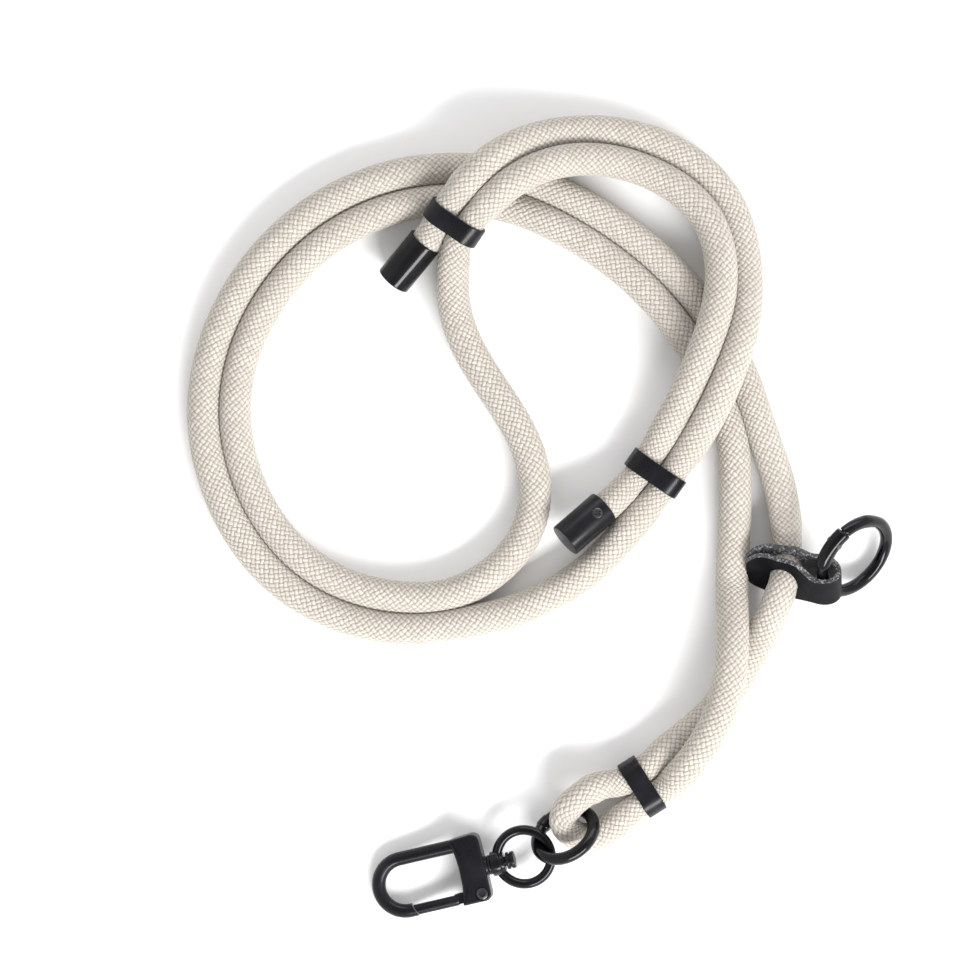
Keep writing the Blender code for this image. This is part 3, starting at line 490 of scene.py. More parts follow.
def braid_finish():
    """Ivory yarn in a slanted basket weave: over each diamond one yarn lies on top, leaning
    right in one column and left in the next, and it is round across and arched along."""
    yarn = Finish("ivory_braid", (0.8, 0.74, 0.64), 0.78, Sheen_Weight=0.3, Sheen_Roughness=0.5)
    yarn.set("Sheen Tint", (1.0, 0.97, 0.92, 1.0))
    yarn.set("Specular IOR Level", 0.3)
    parts = yarn.tree.nodes.new("ShaderNodeSeparateXYZ")
    yarn.link(yarn.coordinates("UV"), parts.inputs[0])
    across = yarn.math("MULTIPLY", parts.outputs["X"], 2.0 * STITCHES_ROUND)
    across = yarn.math("ADD", across, yarn.ramp(yarn.noise(420.0, 1.0), 0.2, 0.8, -0.1, 0.1))
    along = yarn.math("MULTIPLY", parts.outputs["Y"], 2.0 * STITCH_ROWS)
    along = yarn.math("ADD", along, yarn.ramp(yarn.noise(350.0, 1.0), 0.2, 0.8, -0.2, 0.2))
    right = yarn.math("MULTIPLY", yarn.math("ADD", along, across), 0.5)
    left = yarn.math("MULTIPLY", yarn.math("SUBTRACT", along, across), 0.5)
    right_cell, left_cell = yarn.math("ROUND", right), yarn.math("ROUND", left)
    right_off, left_off = yarn.math("SUBTRACT", right, right_cell), yarn.math("SUBTRACT", left, left_cell)
    turn = yarn.math("ADD", yarn.math("SUBTRACT", right_cell, left_cell), 4.0)
    leans_left = yarn.math("GREATER_THAN", yarn.math("MODULO", turn, 2.0), 0.5)
    swap = yarn.math("SUBTRACT", right_off, left_off)
    swap = yarn.math("MULTIPLY", swap, leans_left)
    over = yarn.math("SUBTRACT", right_off, swap)
    beside = yarn.math("ADD", left_off, swap)
    own = woven_lump(yarn, over, beside)
    past_edge = yarn.math("SUBTRACT", 1.0, yarn.math("ABSOLUTE", beside))
    crown = yarn.math("MAXIMUM", own, woven_lump(yarn, past_edge, over))
    who = yarn.tree.nodes.new("ShaderNodeCombineXYZ")
    yarn.link(right_cell, who.inputs[0])
    yarn.link(left_cell, who.inputs[1])
    chance = yarn.tree.nodes.new("ShaderNodeTexWhiteNoise")
    chance.noise_dimensions = "2D"
    yarn.link(who.outputs[0], chance.inputs["Vector"])
    fibre = yarn.noise(2600.0, 2.0)
    strands = yarn.math("SINE", yarn.math("MULTIPLY", beside, 2 * math.pi * 5.0))
    patch = yarn.noise(55.0, 2.0)
    tone = yarn.mix(chance.outputs["Value"], (0.50, 0.456, 0.408), (0.60, 0.560, 0.518))
    tone = yarn.mix(yarn.ramp(patch, 0.35, 0.7, 0.0, 0.3), tone, (0.50, 0.456, 0.408))
    # Painted shade: where the crown is low, in the gaps between the yarns, the colour goes dark (0.32, 0.28,
    # 0.215).
    tone = yarn.mix(yarn.ramp(crown, 0.0, 0.85), (0.32, 0.28, 0.215), tone)
    tone = yarn.mix(yarn.ramp(fibre, 0.35, 0.75, 0.0, 0.2), tone, (0.67, 0.64, 0.60))
    yarn.link(tone, yarn.shader.inputs["Base Color"])
    height = yarn.math("ADD", crown, yarn.math("MULTIPLY", strands, 0.05))
    height = yarn.math("ADD", height, yarn.math("MULTIPLY", fibre, 0.2))
    yarn.bump(height, 0.00042, 0.9)
    return yarn.material


def metal_finish(name, base, roughness, spread, coat, metallic, shine):
    """Black plating: dark, a little metallic, with faint cloudy and rubbed patches."""
    plate = Finish(name, base, roughness, metallic, Coat_Weight=coat, Coat_Roughness=0.12)
    plate.set("Specular IOR Level", shine)
    cloud = plate.noise(90.0, 4.0)
    speck = plate.noise(1500.0, 3.0)
    cloudy = plate.ramp(cloud, 0.35, 0.7, 0.0, spread)
    rubbed = plate.ramp(speck, 0.4, 0.7, 0.0, spread * 0.5)
    worn = plate.math("ADD", cloudy, rubbed)
    plate.link(plate.math("ADD", worn, roughness), plate.shader.inputs["Roughness"])
    dust = tuple(c * 1.5 + 0.003 for c in base)
    plate.link(plate.mix(plate.ramp(cloud, 0.4, 0.75), base, dust), plate.shader.inputs["Base Color"])
    plate.bump(speck, 0.00002, 0.3)
    return plate.material


def leather_face_finish():
    """Smooth near-black leather with a fine pebbled grain and slow mottling."""
    hide = Finish("leather_face", (0.012, 0.012, 0.015), 0.5)
    hide.set("Specular IOR Level", 0.09)
    grain = hide.tree.nodes.new("ShaderNodeTexVoronoi")
    grain.inputs["Scale"].default_value = 1900.0
    hide.link(hide.coordinates(), grain.inputs["Vector"])
    mottle = hide.noise(160.0, 4.0)
    hide.link(hide.mix(hide.ramp(mottle, 0.35, 0.7), (0.0015, 0.0015, 0.0025), (0.008, 0.008, 0.0105)),
              hide.shader.inputs["Base Color"])
    hide.link(hide.ramp(mottle, 0.3, 0.7, 0.42, 0.6), hide.shader.inputs["Roughness"])
    hide.bump(grain.outputs["Distance"], 0.00006, 0.7)
    return hide.material


def suede_finish(name, hollow=None):
    """Grey, fuzzy cut edges and flesh side: speckled fibres over dark leather, with painted shade inside the
    fold: near black within 6 to 9 mm of the hollow's middle if one is given."""
    nap = Finish(name, (0.1, 0.1, 0.11), 0.95, Sheen_Weight=0.25, Sheen_Roughness=0.6)
    fibre = nap.noise(1500.0, 4.0, roughness=0.7)
    clump = nap.noise(500.0, 3.0)
    tone = nap.mix(nap.ramp(fibre, 0.47, 0.62), (0.012, 0.012, 0.015), (0.42, 0.42, 0.44))
    tone = nap.mix(nap.ramp(clump, 0.42, 0.6, 0.0, 0.75), tone, (0.025, 0.025, 0.03))
    # Painted shade: the flesh side is darkened to near black towards the fold's hollow, where shade falls
    # inside the fold.
    if hollow is not None:
        away = nap.tree.nodes.new("ShaderNodeVectorMath")
        away.operation = "DISTANCE"
        nap.link(nap.coordinates(), away.inputs[0])
        away.inputs[1].default_value = (hollow - LAYOUT_CENTRE) * MM
        tone = nap.mix(nap.ramp(away.outputs["Value"], 0.006, 0.009), (0.004, 0.004, 0.005), tone)
    nap.link(tone, nap.shader.inputs["Base Color"])
    nap.bump(nap.math("ADD", fibre, clump), 0.00025, 1.0)
    return nap.material


def floor_finish():
    """A seamless pale sheet with the faintest tone change."""
    sheet = Finish("pale_floor", (0.93, 0.93, 0.93), 0.6)
    drift = sheet.noise(3.0, 2.0)
    sheet.link(sheet.mix(drift, (0.92, 0.92, 0.925), (0.94, 0.94, 0.94)), sheet.shader.inputs["Base Color"])
    return sheet.material


# Where things are

def row_point(row):
    """A route row's place."""
    return ROUTE[row, :3]


def ring_place(centre, radius, level_axis, tilt):
    """A tilted ring's placing: X along its level axis, its lowest wire on the floor."""
    turn, lean = math.radians(level_axis), math.radians(tilt)
    level = np.array((math.cos(turn), math.sin(turn), 0.0))
    slope = np.array((-math.sin(turn) * math.cos(lean), math.cos(turn) * math.cos(lean), math.sin(lean)))
    height = radius * abs(math.sin(lean)) + RING_WIRE + 0.02
    return placing((*centre, height), level, np.cross(level, slope))


def hook_place():
    """The snap hook's placing: X along its swivel axis, 0 on the block's end face."""
    turn, pitch = math.radians(HOOK_TURN), math.radians(HOOK_PITCH)
    x_axis = np.array((math.cos(turn) * math.cos(pitch), math.sin(turn) * math.cos(pitch), math.sin(pitch)))
    return placing(HOOK_AT, x_axis, np.cross(x_axis, (-math.sin(turn), math.cos(turn), 0.0)))


def on_axis(where):
    """A placing at another's origin whose Z runs along the other's X."""
    return inside(where, placing((0.0, 0.0, 0.0), (0.0, 0.0, -1.0), (1.0, 0.0, 0.0)))


# The cord

def drawn_together(line):
    """The line with strands that run side by side, up to 11.3 mm apart, brought into touch: each
    moves by half of what is over the cord's width, or short of cap B's, and the moves are
    smoothed along the cord."""
    index = np.arange(len(line))
    capped = index > len(line) - CAP_STEPS
    along = unit(np.gradient(line, axis=0))
    crossing = np.abs(along @ along.T) < SIDE_BY_SIDE
    apart_only = crossing | (np.abs(index[:, None] - index[None]) < SAME_STRAND)
    window = np.hanning(DRAW_WINDOW)[1:-1]
    window = window / window.sum()
    for _ in range(7):
        apart = np.linalg.norm(line[:, None] - line[None], axis=2)
        apart[apart_only] = np.inf
        nearest = apart.argmin(axis=1)
        gap = apart[index, nearest]
        beside_cap = capped | capped[nearest]
        least = 2 * CORD_RADIUS - TOUCH_OVERLAP + CAP_ROOM * beside_cap
        pull = 0.5 * np.clip(gap - least, -1.0 * beside_cap, 1.0) * ease((DRAW_REACH - gap) / DRAW_FADE)
        move = pull[:, None] * unit(line[nearest] - line)
        line = line + np.column_stack([np.convolve(move[:, k], window, mode="same") for k in range(3)])
    return line


def cord_centres():
    """The cord's middle line: even steps on the spline, kept off the floor and smoothed."""
    knots, at = natural_spline(ROUTE)
    line = at(np.linspace(0.0, knots[-1], 6000))[:, :3]
    line = drawn_together(even_steps(line, CORD_RINGS))
    line[:, 2] = np.maximum(line[:, 2], REST_HEIGHT)
    kernel = np.exp(-0.5 * (np.arange(-6, 7) / 2.6) ** 2)
    padded = np.pad(line[:, 2], 6, mode="edge")
    line[:, 2] = np.maximum(np.convolve(padded, kernel / kernel.sum(), mode="valid"), REST_HEIGHT)
    return line


CORD_LINE = cord_centres()


def cord_girth():
    """The cord's radius along it: full, but nipped where the route's girth is under 1, by the
    shortfall times the nip depth, and eased back to full from 2 to 8 mm away."""
    held = ROUTE[ROUTE[:, 3] < 1.0]
    away = np.linalg.norm(CORD_LINE[:, None] - held[None, :, :3], axis=2)
    nipped = CORD_RADIUS - (1.0 - held[:, 3]) * NIP_DEPTH
    return (nipped + (CORD_RADIUS - nipped) * ease((away - 2.0) / 6.0)).min(axis=1)


def make_cord(finish):
    """The braid: rings round the route, raised cos(pi a) cos(pi b) high over each diamond of
    the weave, whose own axes a and b lean to either side. It is pressed flat where one strand
    touches another, since no vertex passes its share of the distance to the nearest strand, and
    where it lies on the floor, and other strands are kept a small gap off the end caps."""
    girth = cord_girth()
    across = np.arange(CORD_SIDES)[None] / 2.0
    along = np.arange(CORD_RINGS)[:, None]
    off = [weave - np.round(weave) for weave in ((across + along) / 2, (along - across) / 2)]
    crown = np.cos(np.pi * off[0]) * np.cos(np.pi * off[1])
    rings = swept(CORD_LINE, girth[:, None] + RELIEF * (crown - 0.5), CORD_SIDES)
    apart = np.linalg.norm(CORD_LINE[:, None] - CORD_LINE[None], axis=2)
    index = np.arange(CORD_RINGS)
    apart[np.abs(index[:, None] - index[None]) < SAME_STRAND] = np.inf
    for _ in range(3):
        nearest = apart.argmin(axis=1)
        gap = apart[index, nearest]
        towards = unit(CORD_LINE[nearest] - CORD_LINE)
        reach = np.einsum("ijk,ik->ij", rings - CORD_LINE[:, None], towards)
        share = girth / (girth + girth[nearest])
        over = np.maximum(reach - (gap * share - PRESS_GAP)[:, None], 0.0)
        over[gap > 3 * CORD_RADIUS] = 0.0
        rings -= over[..., None] * towards[:, None]
        apart[np.abs(index[None] - nearest[:, None]) < 14] = np.inf
    own_strands = (index < CAP_OWN_STEPS, index >= CORD_RINGS - CAP_OWN_STEPS)
    for (mouth_row, end_row), own in zip(CAP_ROWS, own_strands):
        axis = unit(row_point(end_row) - row_point(mouth_row))
        off = rings - row_point(mouth_row)
        run = off @ axis
        off -= run[..., None] * axis
        far = np.linalg.norm(off, axis=2)
        short = CAP_RADIUS + CAP_GAP - far
        near = (run > -0.3) & (run < CAP_LENGTH + 0.3) & (short > 0) & ~own[:, None]
        rings += (near * short)[..., None] * off / far[..., None]
    rings[..., 2] = np.maximum(rings[..., 2], FLOOR_GAP)
    cord = grid_piece("braided_cord", rings, finish)
    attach(cord, "strap")
    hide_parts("cord")


# Small turned and flat parts

def ready(piece, body, slot, *nodes):
    """Attach the piece to its body and hide the solids that it stands for; the finish slot is not used."""
    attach(piece, body)
    if nodes:
        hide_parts(*nodes)
    return piece


def make_cap(letter, rows, up, slot, finish, screw_finish):
    """An end cap turned from a profile: rolled mouth, plain wall, broken edge, flat end. Its
    screw faces up where up is 1 and the floor where it is -1."""
    mouth, end = (row_point(row) for row in rows)
    axis = unit(end - mouth)
    up_axis = np.array((0.0, 0.0, up)) - axis * axis[2] * up
    where = placing(mouth, up_axis, axis)
    inner, floor = CAP_RADIUS - CAP_WALL, CAP_LENGTH - CAP_END_WALL
    profile = softened([(0.4, CAP_LENGTH), (CAP_RADIUS, CAP_LENGTH), (CAP_RADIUS, 0.0), (inner, 0.0),
                        (inner, floor), (0.4, floor)], 0.45, 7)
    cap = grid_piece(f"cap_sleeve_{letter}", turned(profile, 72, where), finish, crisp=50.0)
    at = inside(where, placing((CAP_RADIUS, 0.0, CAP_SCREW_FROM_MOUTH), (0.0, 0.0, 1.0), (1.0, 0.0, 0.0)))
    hole = turned([(1.75, -1.6), (1.75, 1.2)], 40, at)
    cut(cap, [hole])
    ready(cap, "strap", slot, f"end_cap_{letter}")
    head = cross_screw(1.55, 0.9, at, lift=-0.75)
    screw = grid_piece(f"cap_set_screw_{letter}", head, screw_finish, crisp=40.0)
    ready(screw, "strap", "screw_black", f"end_cap_{letter}_screw")


def cross_screw(radius, height, where, lift=0.0, turn=45.0, slot=0.26, depth=0.42):
    """A screw head as a height over a disc: a low dome, less a cross where |x| or |y| is small."""
    r = np.concatenate((np.linspace(0.06, 0.9, 22), (0.95, 0.985, 1.0))) * radius
    t = np.linspace(0.0, 2 * np.pi, 96, endpoint=False) + math.radians(turn)
    x, y = r[:, None] * np.cos(t)[None], r[:, None] * np.sin(t)[None]
    dome = height - 0.22 * (r[:, None] / radius) ** 3 + 0 * x
    arm = np.minimum(np.abs(x), np.abs(y))
    reach = np.maximum(np.abs(x), np.abs(y))
    sunk = ease((slot + 0.08 - arm) / 0.12) * ease((radius * 0.68 - reach) / 0.15)
    grid = np.stack((x, y, dome - depth * sunk + lift), axis=-1)
    foot = np.stack((x[-1], y[-1], np.full(96, lift)), axis=-1)
    return place(np.concatenate((grid, foot[None])), where)


def hex_screw(radius, height, where, lift=0.0, socket=0.75):
    """A button head: a dome with a six-sided socket where the hexagon's distance is small."""
    r = np.concatenate((np.linspace(0.06, 0.92, 24), (0.96, 0.99, 1.0))) * radius
    t = np.linspace(0.0, 2 * np.pi, 96, endpoint=False)
    x, y = r[:, None] * np.cos(t)[None], r[:, None] * np.sin(t)[None]
    dome = height - 0.35 * (r[:, None] / radius) ** 2.6 + 0 * x
    sides = (0.0, math.pi / 3, 2 * math.pi / 3)
    hexagon = np.max([np.abs(x * math.cos(a) + y * math.sin(a)) for a in sides], axis=0)
    sunk = ease((socket + 0.06 - hexagon) / 0.1)
    grid = np.stack((x, y, dome - 0.5 * sunk + lift), axis=-1)
    foot = np.stack((x[-1], y[-1], np.full(96, lift)), axis=-1)
    return place(np.concatenate((grid, foot[None])), where)


def make_keeper(name, finish):
    """An oval band: a stadium outline whose wall section has rounded lips, as closed rings."""
    first, second, third, fourth = (row_point(row) for row in KEEPER_ROWS[name])
    where = placing((first + second + third + fourth) / 4, third + fourth - first - second,
                    second + fourth - first - third)
    radius = KEEPER_HEIGHT / 2
    reach = KEEPER_LENGTH / 2 - radius
    right = arc_points(radius, -90.0, 90.0, 33, (reach, 0.0))
    left = arc_points(radius, 90.0, 270.0, 33, (-reach, 0.0))
    top = np.column_stack((np.linspace(reach, -reach, 14)[1:-1], np.full(12, radius), np.zeros(12)))
    outline = np.vstack((right, top, left, -top))
    spine = np.zeros_like(outline)
    spine[:, 0] = np.clip(outline[:, 0], -reach, reach)
    out = unit(outline - spine)
    turn = np.radians(np.linspace(0.0, 90.0, 5))
    inwards = KEEPER_LIP * (1 - np.cos(turn))
    outwards = inwards[::-1]
    depth = np.r_[inwards, KEEPER_WALL - outwards, KEEPER_WALL - inwards, outwards]
    rise = KEEPER_LIP * np.sin(turn)
    lip = KEEPER_WIDTH / 2 - KEEPER_LIP + np.r_[rise, rise[::-1]]
    grid = outline[:, None] - out[:, None] * depth[None, :, None]
    grid[..., 2] = np.r_[lip, -lip]
    keeper = grid_piece(name.replace("keeper", "oval_keeper"), place(grid, where), finish, closed=True)
    return ready(keeper, "strap", "satin_black", name)


# Leather tab

def tab_place():
    """The tab's placing: X from its tip to its fold, Y up its width, Z towards its front."""
    lean, rise = math.radians(TAB_LEAN), math.radians(TAB_RISE)
    along = np.array((math.cos(rise), 0.0, math.sin(rise)))
    return placing(TAB_TIP, along, np.cross(along, (0.0, math.cos(lean), math.sin(lean))))


def make_tab(face, flesh, edge_finish):
    """The folded strip: its middle line (distance, depth) is a spline, and at each point its
    half width follows a round end, a straight run and a taper to the fold. The wall is then
    thickened, its edges broken, and the cord's way cut through both layers."""
    knots, at = natural_spline(np.column_stack((TAB_LINE, np.zeros(len(TAB_LINE)))))
    line = even_steps(at(np.linspace(0.0, knots[-1], 800)), TAB_ROWS)
    u = np.maximum(line[:, 0], 0.45)
    short = TAB_END_RADIUS - np.minimum(u, TAB_END_RADIUS)
    end = np.sqrt(np.maximum(TAB_END_RADIUS ** 2 - short ** 2, 0.0))
    half = end + (TAB_WAIST - TAB_END_RADIUS) * ease((u - 15.0) / 7.0)
    v = np.linspace(-1.0, 1.0, TAB_COLUMNS)
    wave = 0.12 * np.sin(line[:, 0] * 0.7)[:, None] * (v ** 2)[None]
    run = np.repeat(line[:, :1], TAB_COLUMNS, 1)
    grid = np.stack((run, half[:, None] * v[None], line[:, 1:2] + wave), axis=-1)
    points = place(grid, tab_place()).reshape(-1, 3)
    quads = sheet_faces(TAB_ROWS, TAB_COLUMNS)
    tab = piece_from("folded_leather_tab", points, quads, NO_TRIANGLES, [face, flesh, edge_finish])
    wall = tab.modifiers.new("wall", "SOLIDIFY")
    wall.thickness = TAB_THICKNESS * MM
    wall.offset = 0.0
    wall.material_offset = 1
    wall.material_offset_rim = 2
    edge = tab.modifiers.new("edge", "BEVEL")
    edge.width = 0.28 * MM
    edge.segments = 3
    edge.limit_method = "ANGLE"
    edge.angle_limit = math.radians(50.0)
    apply_modifiers(tab)
    stops = ROUTE[28:31, :3]
    way = np.vstack((stops[0] + unit(stops[0] - stops[1]) * 6.0, stops))
    way = even_steps(way, 24)
    cut(tab, [swept(way, TAB_HOLE_RADIUS, 48)], crisp=55.0)
    return ready(tab, "strap", "leather", "leather_tab")


# Rings

def ring_path(radius, start, end, count, where):
    """Points on a ring's circle between two angles in degrees."""
    return place(arc_points(radius, start, end, count), where)


def slanted_end(rings, direction, centre, normal, count):
    """The last rings slid along the wire so that the final one lies in a slanted plane: each of
    its points p moves by ((centre - p) . normal) / (direction . normal) along the direction."""
    weight = ease(np.linspace(0.0, 1.0, count))[:, None]
    tail = rings[-count:]
    lean = np.einsum("ijk,k->ij", centre - tail[-1:], normal) / np.dot(direction, normal)
    rings[-count:] = tail + (weight * lean)[..., None] * direction


def end_on_arc(rings, forward, pivot, axis, reach, count):
    """The last rings slid forward along the wire until the final one lies on an arc: each of its
    points p moves s along f, where the length of p + s f, seen along the pivot's axis, is the reach."""
    off = rings[-1] - pivot
    off = off - (off @ axis)[:, None] * axis
    run = off @ forward
    slide = -run + np.sqrt(run ** 2 - (off * off).sum(axis=1) + reach ** 2)
    rings[-count:] += ease(np.linspace(0.0, 1.0, count))[:, None, None] * slide[None, :, None] * forward


def make_tab_ring(finish, pin_finish):
    """The spring ring: a body with a thicker forked end, a gate whose flat tongue lies in the
    fork, and their rivet. The joint's faces are arcs round the rivet, so the gate swings clear."""
    turn, origin = ring_place(**TAB_RING)
    up = turn[:, 2]
    where = (turn, origin + TAB_RING_LIFT * up)
    radius = TAB_RING["radius"]
    angles = np.linspace(JOINT_AT, GATE_TO + 360.0, 290)
    path = ring_path(radius, angles[0], angles[-1], len(angles), where)
    girth = RING_WIRE + KNUCKLE_SWELL * ease((KNUCKLE_END - angles) / 12.0)
    girth[:3] -= (0.22, 0.07, 0.01)
    rings = swept(path, girth[:, None], 40, up)
    seam_turn = math.radians(GATE_TO - 90.0 + GATE_SEAM_SLANT)
    normal = where[0] @ np.array((math.cos(seam_turn), math.sin(seam_turn), 0.0))
    slanted_end(rings, unit(path[-1] - path[-2]), path[-1] + normal * SEAM_HALF_GAP, normal, 24)
    angle = math.radians(GATE_FROM)
    pivot = np.array((math.cos(angle), math.sin(angle), 0.0)) * radius
    forward = unit(path[0] - path[1])
    reach = 2 * radius * math.sin(math.radians(GATE_FROM - JOINT_AT) / 2)
    end_on_arc(rings[::-1], forward, place(pivot, where), up, reach - JOINT_GAPS[0], 10)
    body = grid_piece("tab_ring_body", rings, finish, crisp=50.0)
    slot = np.vstack((arc_points(radius + 1.7, JOINT_AT - 12.0, SLOT_END, 30),
                      arc_points(radius - 4.5, SLOT_END, JOINT_AT - 12.0, 30)))[:, :2]
    cut(body, [slab(slot, FORK_HALF_WIDTH, 0.02, where)], crisp=40.0)
    ready(body, "strap", "gloss_black", "tab_ring")

    gate_angles = np.linspace(JOINT_AT, GATE_TO, 60)
    gate_path = ring_path(radius, gate_angles[0], gate_angles[-1], len(gate_angles), where)
    gate_girth = np.full((60, 1), RING_WIRE)
    gate_girth[:2, 0] -= (0.12, 0.03)
    gate_rings = swept(gate_path, gate_girth, 40, up)
    tip_at = gate_path[-1] - normal * SEAM_HALF_GAP
    slanted_end(gate_rings, unit(gate_path[-1] - gate_path[-2]), tip_at, normal, 24)
    end_on_arc(gate_rings[::-1], forward, place(pivot, where), up, reach + JOINT_GAPS[1], 18)
    gate = grid_piece("tab_ring_spring_gate", gate_rings, finish, crisp=50.0)
    tip = arc_points(radius, JOINT_AT - 6.0, JOINT_AT, 2)[0]
    heading = math.degrees(math.atan2(tip[1] - pivot[1], tip[0] - pivot[0]))
    back = arc_points(1.5, heading + 90.0, heading + 270.0, 24, pivot)
    tongue = np.vstack((back, back[-1] + tip - pivot, back[0] + tip - pivot, back[0]))[:, :2]
    tongue = slab(even_steps(tongue, 81)[:-1], TONGUE_HALF_WIDTH, 0.1, where)
    cut(gate, [tongue], "UNION", crisp=40.0)
    ready(gate, "ring_gate", "gloss_black", "tab_ring_gate")

    hinge = inside(where, placing(pivot, (math.cos(angle), math.sin(angle), 0.0), (0.0, 0.0, 1.0)))
    half = RIVET_HALF_LENGTH
    pin = turned(softened([(0.05, -half), (0.9, -half), (0.9, half), (0.05, half)], 0.35, 6), 32, hinge)
    ready(grid_piece("tab_ring_rivet", pin, pin_finish, crisp=40.0), "strap", "screw_black", "tab_ring_pin")


def make_loop_ring(finish):
    """The ring on the cord's end loop: a round wire, swollen at a riveted joint."""
    where = ring_place(**LOOP_RING)
    angles = np.arange(220) * 360.0 / 220
    joint = np.abs((angles - 112.0 + 180.0) % 360.0 - 180.0)
    groove = ease((0.8 - np.abs(joint - 10.5)) / 0.8)
    girth = RING_WIRE + 0.28 * ease((12.0 - joint) / 3.0) - 0.16 * groove
    path = place(arc_points(LOOP_RING["radius"], 0.0, 360.0, 221)[:-1], where)
    rings = swept(path, girth[:, None], 40, where[0][:, 2], closed=True)
    ring = grid_piece("loop_ring_wire", rings, finish, closed=True)
    return ready(ring, "strap", "gloss_black", "loop_ring")


# Snap hook

def block_outline():
    """The block seen from above: round corners, a straight end and a hollowed window side."""
    half = BLOCK_HALF_WIDTH
    low = arc_points(1.8, -90.0, 0.0, 12, (-1.8, -half + 1.8))
    high = arc_points(2.2, 0.0, 90.0, 12, (-2.2, half + 0.5 - 2.2))
    across = np.linspace(1.0, -1.0, 60)
    window = np.column_stack((-BLOCK_LENGTH + 1.3 * (1 - np.abs(across) ** 2.2), across * half, 0 * across))
    outline = np.vstack((low, high, window))[:, :2]
    outline = even_steps(np.vstack((outline, outline[:1])), 241)[:-1]
    kernel = np.hanning(11)[1:-1]
    wrapped = np.vstack((outline[-4:], outline, outline[:4]))
    kernel = kernel / kernel.sum()
    return np.column_stack([np.convolve(wrapped[:, k], kernel, mode="valid") for k in range(2)])


def make_hook(satin, gloss, screw_finish):
    """The snap hook: block, bent bar, ribbed post, sprung gate, screw, and the swivel's eye."""
    where = hook_place()
    up = where[0][:, 2]
    block = slab(block_outline(), BLOCK_HALF_THICKNESS, 0.75, where)
    block = grid_piece("hook_block", block, satin, crisp=50.0)
    slot = box_grid((-BLOCK_LENGTH - 4.0, -BLOCK_HALF_WIDTH - 3.0, -1.95), (-0.7, -2.4, 1.95), where)
    pivot = inside(where, placing(GATE_PIVOT, (1.0, 0.0, 0.0), (0.0, 0.0, 1.0)))
    sunk, clear = BLOCK_HALF_THICKNESS - 0.9, BLOCK_HALF_THICKNESS + 1.0
    recess = turned([(2.05, sunk), (2.05, clear)], 48, pivot)
    cut(block, [slot, recess], crisp=38.0)
    ready(block, "hook", "satin_black", "hook_body")

    run = np.linspace(-BLOCK_LENGTH + 2.0, BEND_AT, 30)
    straight = np.column_stack((run, np.full(30, BAR_OFFSET), np.zeros(30)))
    bend = arc_points(BAR_OFFSET, 90.0, 270.0, 70, (BEND_AT, 0.0))
    run = np.linspace(BEND_AT, NOSE_END - SEAM_SETBACK, 12)
    nose = np.column_stack((run, np.full(12, -BAR_OFFSET), np.zeros(12)))
    path = np.vstack((straight, bend[1:], nose[1:]))
    rings = swept(path, BAR_RADIUS, 48, (0.0, 0.0, 1.0))
    slant = math.radians(NOSE_SLANT)
    normal = np.array((math.cos(slant), math.sin(slant), 0.0))
    slanted_end(rings, np.array((1.0, 0.0, 0.0)), path[-1], normal, 11)
    bar = grid_piece("hook_bar", place(rings, where), satin, crisp=50.0)
    ready(bar, "hook", "satin_black")

    rib = [(2.6, 7.35), (2.1, 7.45), (2.1, 7.75), (2.6, 7.85)]
    foot = [(3.0, 1.6), (3.0, 0.95), (2.6, 0.8), (3.0, 0.65), (3.0, -1.5), (0.1, -1.5)]
    post = [(0.1, 9.0), (2.6, 9.0)] + rib[::-1] + [(2.6, 6.5), (1.5, 6.5), (1.5, 1.6)] + foot
    post_grid = turned(softened(post, 0.22, 5), 64, on_axis(where))
    ready(grid_piece("swivel_post", post_grid, satin, crisp=40.0), "hook", "satin_black")

    meeting = NOSE_END - SEAM_SETBACK + 0.3
    run = np.linspace(-10.4, meeting, 40)
    gate_path = np.column_stack((run, np.full(40, GATE_OFFSET), np.zeros(40)))
    girth = GATE_RADIUS * (1 - 0.14 * ease((gate_path[:, 0] + 10.9) / 0.5))
    gate_rings = swept(gate_path, girth[:, None], 40, (0.0, 0.0, 1.0))
    seam = np.array((meeting, -BAR_OFFSET, 0.0))
    slanted_end(gate_rings, np.array((-1.0, 0.0, 0.0)), seam, normal, 10)
    gate = grid_piece("hook_spring_gate", place(gate_rings, where), satin, crisp=50.0)
    low = GATE_OFFSET - GATE_PIVOT[1] - 1.25
    eye = np.vstack((arc_points(1.75, -60.0, 90.0, 24)[:, :2], ((-8.7, 1.4), (-8.7, low), (-1.0, low))))
    tongue = slab(even_steps(np.vstack((eye, eye[:1])), 81)[:-1], 1.3, 0.15, pivot)
    cut(gate, [tongue], "UNION", crisp=40.0)
    ready(gate, "gate", "satin_black", "hook_gate")

    head = hex_screw(1.8, 1.0, pivot, BLOCK_HALF_THICKNESS - 0.95)
    screw = grid_piece("gate_button_screw", head, screw_finish, crisp=40.0)
    ready(screw, "hook", "screw_black", "hook_gate_screw")

    roll = math.radians(EYE_ROLL)
    square = (0.0, -math.sin(roll), math.cos(roll))
    eye_place = inside(where, placing((EYE_CENTRE, 0.0, 0.0), (1.0, 0.0, 0.0), square))
    path = place(arc_points(EYE_RADIUS, 0.0, 360.0, 181)[:-1], eye_place)
    wire = swept(path, EYE_WIRE, 36, eye_place[0][:, 2], closed=True)
    ring = grid_piece("swivel_eye_ring", wire, gloss, closed=True)
    boss = softened([(1.85, 1.9), (3.75, 1.9), (3.75, 4.6), (3.2, 5.0), (3.2, 5.9), (1.85, 5.9)], 0.3, 5)
    cut(ring, [turned(boss, 56, on_axis(where))], "UNION", crisp=40.0)
    ready(ring, "strap", "gloss_black", "swivel_eye")


# Floor, light and camera

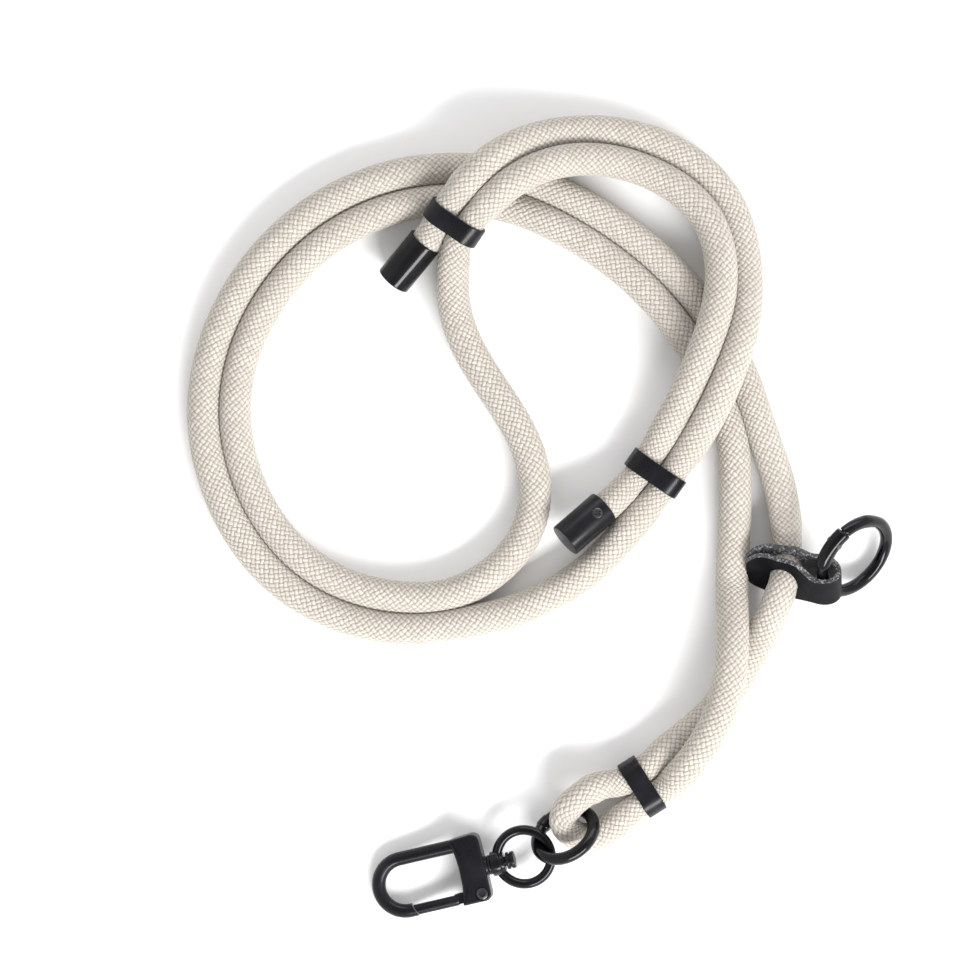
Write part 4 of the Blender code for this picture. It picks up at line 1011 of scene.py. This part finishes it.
def make_stage():
    """A pale floor that reaches far past the view."""
    steps = np.linspace(-1400.0, 1700.0, 9)
    x, y = np.meshgrid(steps, steps, indexing="ij")
    points = np.stack((x, y, np.full_like(x, -FLOOR_GAP)), axis=-1).reshape(-1, 3)
    quads = sheet_faces(9, 9)[:, (0, 3, 2, 1)]
    floor = piece_from("pale_floor_sheet", points, quads, NO_TRIANGLES, floor_finish())


def add_light(name, azimuth, height, wide, high, power):
    """An oblong area light 1.6 m from the strap, in a direction given in degrees, facing it."""
    data = bpy.data.lights.new(name, "AREA")
    data.shape = "RECTANGLE"
    data.energy = power
    data.size = wide * MM
    data.size_y = high * MM
    lamp = bpy.data.objects.new(name, data)
    bpy.context.scene.collection.objects.link(lamp)
    turn, lift = math.radians(azimuth), math.radians(height)
    away = np.array((math.cos(turn) * math.cos(lift), math.sin(turn) * math.cos(lift), math.sin(lift)))
    side = unit(np.cross((0.0, 0.0, 1.0), away))
    axes = np.column_stack((side, np.cross(away, side), away))
    at = (np.array(LIT_POINT) + LAMP_DISTANCE * away - LAYOUT_CENTRE) * MM
    lamp.matrix_world = Matrix([[*axes[k], at[k]] for k in range(3)] + [[0, 0, 0, 1]])


def make_view():
    """The photograph's view: straight down, a long lens, the frame 290.4 mm wide at the cord."""
    data = bpy.data.cameras.new("overhead_camera")
    data.lens = 160.0
    data.sensor_width = 36.0
    camera = bpy.data.objects.new("overhead_camera", data)
    bpy.context.scene.collection.objects.link(camera)
    away = FRAME_WIDTH * data.lens / data.sensor_width
    middle = np.array((FRAME_WIDTH / 2, FRAME_WIDTH / 2, REST_HEIGHT))
    camera.location = ((middle - LAYOUT_CENTRE) + np.array((0.0, 0.0, away))) * MM
    data.clip_start = 0.05
    data.clip_end = 20.0
    bpy.context.scene.camera = camera


def studio_sky():
    """A sky that is bright low down and dim overhead, where dark metal would mirror it."""
    world = bpy.data.worlds.new("studio")
    bpy.context.scene.world = world
    world.use_nodes = True
    tree = world.node_tree
    place_of = tree.nodes.new("ShaderNodeTexCoord").outputs["Generated"]
    parts = tree.nodes.new("ShaderNodeSeparateXYZ")
    tree.links.new(place_of, parts.inputs[0])
    band = tree.nodes.new("ShaderNodeMapRange")
    band.interpolation_type = "SMOOTHSTEP"
    for socket, number in zip(("From Min", "From Max", "To Min", "To Max"), (0.62, 0.96, 0.97, 0.34)):
        band.inputs[socket].default_value = number
    tree.links.new(parts.outputs["Z"], band.inputs["Value"])
    tree.links.new(band.outputs["Result"], tree.nodes["Background"].inputs["Strength"])
    tree.nodes["Background"].inputs["Color"].default_value = (1.0, 1.0, 1.0, 1.0)


def make_light():
    """A long key along the lower right, a broad weak one at the top, and the studio's sky."""
    add_light("key_softbox", azimuth=-60.0, height=39.0, wide=1500.0, high=460.0, power=43.0)
    add_light("top_softbox", azimuth=80.0, height=30.0, wide=1500.0, high=700.0, power=10.0)
    studio_sky()
    bpy.context.scene.view_settings.view_transform = "Standard"


# Everything, camera and cord first

make_view()
make_light()
make_stage()
make_cord(braid_finish())
gloss_black = metal_finish("gloss_black_plate", (0.0025, 0.0025, 0.0035), roughness=0.12, spread=0.06,
                           coat=0.2, metallic=0.0, shine=0.15)
satin_black = metal_finish("satin_black_plate", (0.0055, 0.0055, 0.0075), roughness=0.25, spread=0.1,
                           coat=0.05, metallic=0.0, shine=0.2)
screw_black = metal_finish("blackened_screw", (0.045, 0.045, 0.048), roughness=0.24, spread=0.12,
                           coat=0.3, metallic=0.6, shine=0.26)
make_cap("a", CAP_ROWS[0], -1.0, "gloss_black", gloss_black, screw_black)
make_cap("b", CAP_ROWS[1], 1.0, "satin_black", satin_black, screw_black)
for keeper_name in KEEPER_ROWS:
    make_keeper(keeper_name, satin_black)
make_tab(leather_face_finish(), suede_finish("leather_flesh_side", place(TAB_HOLLOW, tab_place())),
         suede_finish("leather_cut_edge"))
make_tab_ring(gloss_black, screw_black)
make_loop_ring(gloss_black)
make_hook(satin_black, gloss_black, screw_black)
